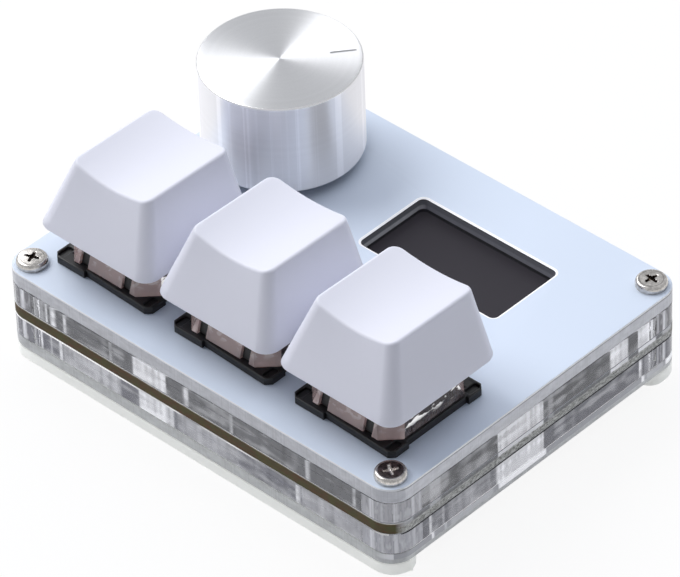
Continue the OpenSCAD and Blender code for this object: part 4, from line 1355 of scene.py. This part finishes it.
    def spring(self, i, key, material):
        """A coil of wire inside the sleeve that stands in for it."""
        a, b = low(f"switch_spring_{i}"), high(f"switch_spring_{i}")
        wire = 0.16 * MM
        radius = (b.x - a.x) / 2 - wire
        turns, steps, sides = 9, 20, 8
        bm = bmesh.new()
        rings = []
        for k in range(turns * steps + 1):
            t = k / (turns * steps)
            angle = 2 * math.pi * turns * t
            out = Vector((math.cos(angle), math.sin(angle), 0))
            centre = Vector((key.x, key.y, a.z + wire + (b.z - a.z - 2 * wire) * t)) + out * radius
            rings.append([bm.verts.new(centre + (out * math.cos(2 * math.pi * n / sides)
                                                 + UP * math.sin(2 * math.pi * n / sides)) * wire)
                          for n in range(sides)])
        bridge(bm, rings)
        bm.faces.new(rings[0])
        bm.faces.new(rings[-1][::-1])
        made = shaped(f"switch_spring_{i}", bm, "case", [material])
        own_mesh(made)


def housing_finish(name, colour, transmission, waves, glints):
    """Clear moulded plastic that lets the slider's colour through, with flow waves and small painted glints,
    white and glowing, high up.
    """
    f = Finish(name)
    drift = f.noise(3, 3)
    flow = f.noise(1.1, 3, scale=(1, 1, 0.5))
    fine = f.noise(0.08, 2)
    high_up = f.axes()[2].over(DECK + 2.0, 0.3)
    # Painted highlights: white glints, glowing, high up on the housing.
    glint = f.noise(0.9, 2, scale=(1, 0.5, 1.4)).over(0.555, 0.03) * high_up * glints
    return f.set(Base_Color=f.blend(glint, f.blend(drift, darker(colour, 0.85), colour), (0.95, 0.95, 0.95)),
                 Roughness=drift * 0.08 + 0.08, Transmission_Weight=transmission, IOR=1.5,
                 Emission_Color=f.blend(glint, (0, 0, 0), (1, 1, 1)), Emission_Strength=0.7,
                 Normal=f.bump(flow, waves, 0.25, f.bump(fine, 0.08, 0.01)))


# Knob


class KEYPAD_OT_knob(bpy.types.Operator):
    """Builds the turned knob with its rim, pointer line and grub screw, and finishes the encoder"""

    bl_idname = "keypad.knob"
    bl_label = "Knob"

    def execute(self, context):
        s = settings(context, "knob")
        bottom, top = low("knob").z, high("knob").z
        radius = (high("knob").x - low("knob").x) / 2 / MM
        rise, rim = (top - bottom) / MM, s.rim / MM
        profile = [(0, rise - 2.4), (3.05, rise - 2.4), (3.05, 5.4), (3.7, 5.4), (3.7, 2.2),
                   (radius - 1, 2.2), (radius - 1, 0.12), (radius - 0.88, 0), (radius - 0.2, 0),
                   (radius - 0.06, 0.06), (radius, 0.2), (radius, rise - rim - 0.05)]
        turns = [math.pi / 2 * k / 5 for k in range(1, 6)]
        profile += [(radius - rim * (1 - math.cos(a)), rise - rim * (1 - math.sin(a))) for a in turns]
        profile += [(r, rise) for r in (9.2, 8.6, 8, 7, 6, 5, 4, 3, 2, 1, 0.3, 0)]
        knob, groove, hole = bmesh.new(), bmesh.new(), bmesh.new()
        add_lathe(knob, profile, s.steps)
        in_place(knob, (DIAL.x, DIAL.y, bottom))
        knob = new_object("knob_turned", knob)
        turn = Matrix.Rotation(POINTER_ANGLE, 4, "Z")
        add_slab(groove, [rounded_loop(3.2, 0.36, 0.17, (radius - 2.35, 0), 6)], [(0, -0.10), (0, 1)])
        in_place(groove, (DIAL.x, DIAL.y, top), turn)
        add_lathe(hole, [(0, 2), (1.5, 2), (1.5, 14), (0, 14)], 40)
        in_place(hole, (DIAL.x, DIAL.y, middle("knob_screw").z), turn @ Matrix.Rotation(math.pi / 2, 4, "Y"))
        for cutter in (new_object("groove", groove), new_object("grub_hole", hole)):
            cut = knob.modifiers.new("cut", "BOOLEAN")
            cut.object = cutter
            cut.solver = "EXACT"
        piece = plain_mesh(knob, "knob_piece")
        for name in ("groove", "grub_hole"):
            bpy.data.objects.remove(bpy.data.objects[name])
        brushed = {"Anisotropic": 0.9, "Anisotropic_Rotation": 0.25}
        face_metal = turned_finish("knob_face", s.metal, 0.34, s.ring_pitch / MM, 0.15, "face", **brushed)
        # The side glows faintly in its painted tone, as painted light.
        side_metal = turned_finish("knob_side", shade(246, 246, 251), 0.34, s.ring_pitch / MM, 0.08, "side",
                                   Emission_Strength=0.065, **brushed)
        rim_metal = metal("knob_rim", shade(248, 248, 250), 0.24, 0.01)
        inside = metal("knob_inside", darker(s.metal, 0.86), 0.46, 0.2)

        def pick(p):
            """Face 0, side 1, polished rim 2, inside 3."""
            out = (p.center.xy - DIAL.xy).length / MM
            if p.center.z > top - 0.02 * MM and p.normal.z > 0.9:
                return 0
            if out > radius - rim - 0.1 and 0.2 < p.normal.z < 0.98:
                return 2
            if out > radius * 0.98 and abs(p.normal.z) < 0.2:
                return 1
            return 3

        metals = [face_metal, side_metal, rim_metal, inside]
        dress(piece, "knob", metals, ["knob"], pick, 25)
        softened("knob_screw", "knob", metal("grub_black", shade(58, 58, 62), 0.35), 0.08)
        tin = metal("tin_plate", shade(206, 208, 210), 0.27, 0.12)
        for node in ("encoder_cover", "usb_shell"):
            softened(node, "case", tin, 0.1)
        softened("encoder_shaft", "knob", tin, 0.1)
        for node in ("encoder_pins", "chip_leads"):
            paint(node, tin)
        paint("encoder_rotor", plastic("rotor_plastic", shade(222, 206, 160), 0.4))
        steel = metal("dome_steel", shade(214, 214, 214), 0.22)
        dome = softened("encoder_dome", "case", steel, 0.02)
        rest, press = low("encoder_dome"), 0.5 * MM
        1 - press / (high("encoder_dome").z - rest.z)
        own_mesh(dome)
        return {"FINISHED"}


# Display


class KEYPAD_OT_display(bpy.types.Operator):
    """Builds the dark display panel and finishes its pad and flat cable"""

    bl_idname = "keypad.display"
    bl_label = "Display"

    def execute(self, context):
        s = settings(context, "display")
        # The dark panel glows faintly in its own colour: painted light that softens the walls' shadow on it.
        panel = plastic("display_glass", s.panel, 0.5, 0.5, 0.01, 0.1, Specular_IOR_Level=0.12,
                        Emission_Color=(*s.panel, 1), Emission_Strength=0.5)
        softened("display_panel", "case", panel, 0.08)
        paint("display_pad", plastic("pad_foam", shade(70, 70, 74), 0.85, 0.3, 0.8))
        paint("display_ribbon", plastic("ribbon_film", shade(196, 138, 62), 0.32))
        paint("board_parts", plastic("small_parts", shade(150, 136, 112), 0.5))
        return {"FINISHED"}


# Stage


def camera_matrix(place, target, roll):
    forward = (target - place).normalized()
    right = forward.cross(UP).normalized()
    above = right.cross(forward)
    turned_right = math.cos(roll) * right + math.sin(roll) * above
    turned_up = -math.sin(roll) * right + math.cos(roll) * above
    rotation = Matrix((turned_right, turned_up, -forward)).transposed()
    return Matrix.Translation(place) @ rotation.to_4x4()


class KEYPAD_OT_stage(bpy.types.Operator):
    """Builds the floor, the lamps, the world and the camera"""

    bl_idname = "keypad.stage"
    bl_label = "Stage"

    def execute(self, context):
        s = settings(context, "stage")
        scene = context.scene
        scene.view_settings.view_transform = "Standard"
        self.floor(s)
        self.world(scene, s)
        self.lamp("left_lamp", (-0.545, -0.085, 0.647), 0.60, s.key_light)
        self.lamp("glint_lamp", (-0.60, 0.30, 0.47), 0.24, s.key_light * 0.12)
        camera = bpy.data.objects.new("camera", bpy.data.cameras.new("camera"))
        scene.collection.objects.link(camera)
        camera.data.lens = s.focal
        camera.data.sensor_width = 36
        camera.data.clip_start = 0.01
        camera.data.clip_end = 20
        azimuth, elevation, distance = 0.777, 0.691, 0.6812
        target = Vector((-0.000717, 0.000547, 0.0099))
        back = Vector((math.cos(elevation) * math.sin(azimuth), -math.cos(elevation) * math.cos(azimuth),
                       math.sin(elevation)))
        camera.matrix_world = camera_matrix(target + back * distance, target, -0.038)
        scene.camera = camera
        return {"FINISHED"}

    def floor(self, s):
        bm = bmesh.new()
        bmesh.ops.create_grid(bm, x_segments=1, y_segments=1, size=6)
        bmesh.ops.translate(bm, verts=bm.verts, vec=(0, 0, -0.05 * MM))
        floor = new_object("floor", bm, outward=False)
        f = Finish("floor_paper")
        f.set(Base_Color=s.floor, Roughness=0.9, Normal=f.bump(f.noise(2, 3), 0.02, 0.05))
        back = f.node("NewGeometry", out="Backfacing")
        white = f.node("Emission", inputs={"Color": (1, 1, 1), "Strength": 1.0})
        clear = f.node("BsdfTransparent")
        seen = f.ray("Glossy").sum("MAXIMUM", f.ray("Transmission")).sum("MAXIMUM", f.ray("Camera") * 0.9)
        lit = f.node("MixShader", inputs={0: seen, 1: Value(f, f.shader.outputs[0]), 2: white})
        both = f.node("MixShader", inputs={0: back, 1: lit, 2: clear})
        f.links.new(both.out, f.output.inputs["Surface"])
        floor.data.materials.append(f.material)

    def world(self, scene, s):
        """Light from all round, weaker from the camera's side; plain white where it is seen directly."""
        f = Finish("studio", bpy.data.worlds.new("studio"))
        scene.world = f.material
        x, y, z = f.axes(f.node("TexCoord", out="Generated"))
        facing = (x * 0.70 - y * 0.71).over(0.45, 0.35)
        behind = (x * -0.20 + y * 0.58 + z * 0.79).over(0.84, 0.12)
        power = (1.0 - facing * 0.75) * s.world + behind * s.back_light
        around = f.node("Background", inputs={"Color": (0.90, 0.93, 1.0), "Strength": power})
        dim = f.node("Background", inputs={"Color": (0.97, 0.98, 1.0), "Strength": s.mirrored})
        white = f.node("Background", inputs={"Color": (1, 1, 1), "Strength": 1.0})
        glossy = f.node("MixShader", inputs={0: f.ray("Glossy"), 1: around, 2: dim})
        seen = f.ray("Camera").sum("MAXIMUM", f.ray("Transmission"))
        both = f.node("MixShader", inputs={0: seen, 1: glossy, 2: white})
        f.links.new(both.out, f.output.inputs["Surface"])

    def lamp(self, name, place, size, power):
        data = bpy.data.lights.new(name, "AREA")
        data.shape = "DISK"
        data.size = size
        data.energy = power
        lamp = bpy.data.objects.new(name, data)
        bpy.context.scene.collection.objects.link(lamp)
        lamp.matrix_world = camera_matrix(Vector(place), Vector((0, 0, 0.01)), 0)


# Panel and registration


BUILDERS = (KEYPAD_OT_plates, KEYPAD_OT_screws, KEYPAD_OT_board, KEYPAD_OT_keys, KEYPAD_OT_knob,
            KEYPAD_OT_display, KEYPAD_OT_stage)


class KEYPAD_PT_panel(bpy.types.Panel):
    """Lists the builders and their settings"""

    bl_label = "Macro keypad"
    bl_idname = "KEYPAD_PT_panel"
    bl_space_type = "VIEW_3D"
    bl_region_type = "UI"
    bl_category = "Keypad"

    def draw(self, context):
        for builder in BUILDERS:
            self.layout.operator(builder.bl_idname)
        for group, kind in SETTINGS.items():
            box = self.layout.box()
            box.label(text=group.capitalize())
            for name in kind.__annotations__:
                box.prop(settings(context, group), name)


def register():
    for cls in (*SETTINGS.values(), *BUILDERS, KEYPAD_PT_panel):
        bpy.utils.register_class(cls)
    for group, kind in SETTINGS.items():
        setattr(bpy.types.Scene, f"keypad_{group}", PointerProperty(type=kind))


def unregister():
    for group in SETTINGS:
        delattr(bpy.types.Scene, f"keypad_{group}")
    for cls in reversed((*SETTINGS.values(), *BUILDERS, KEYPAD_PT_panel)):
        bpy.utils.unregister_class(cls)


def main():
    register()
    for builder in BUILDERS:
        group, action = builder.bl_idname.split(".")
        getattr(getattr(bpy.ops, group), action)()


if __name__ == "__main__":
    main()
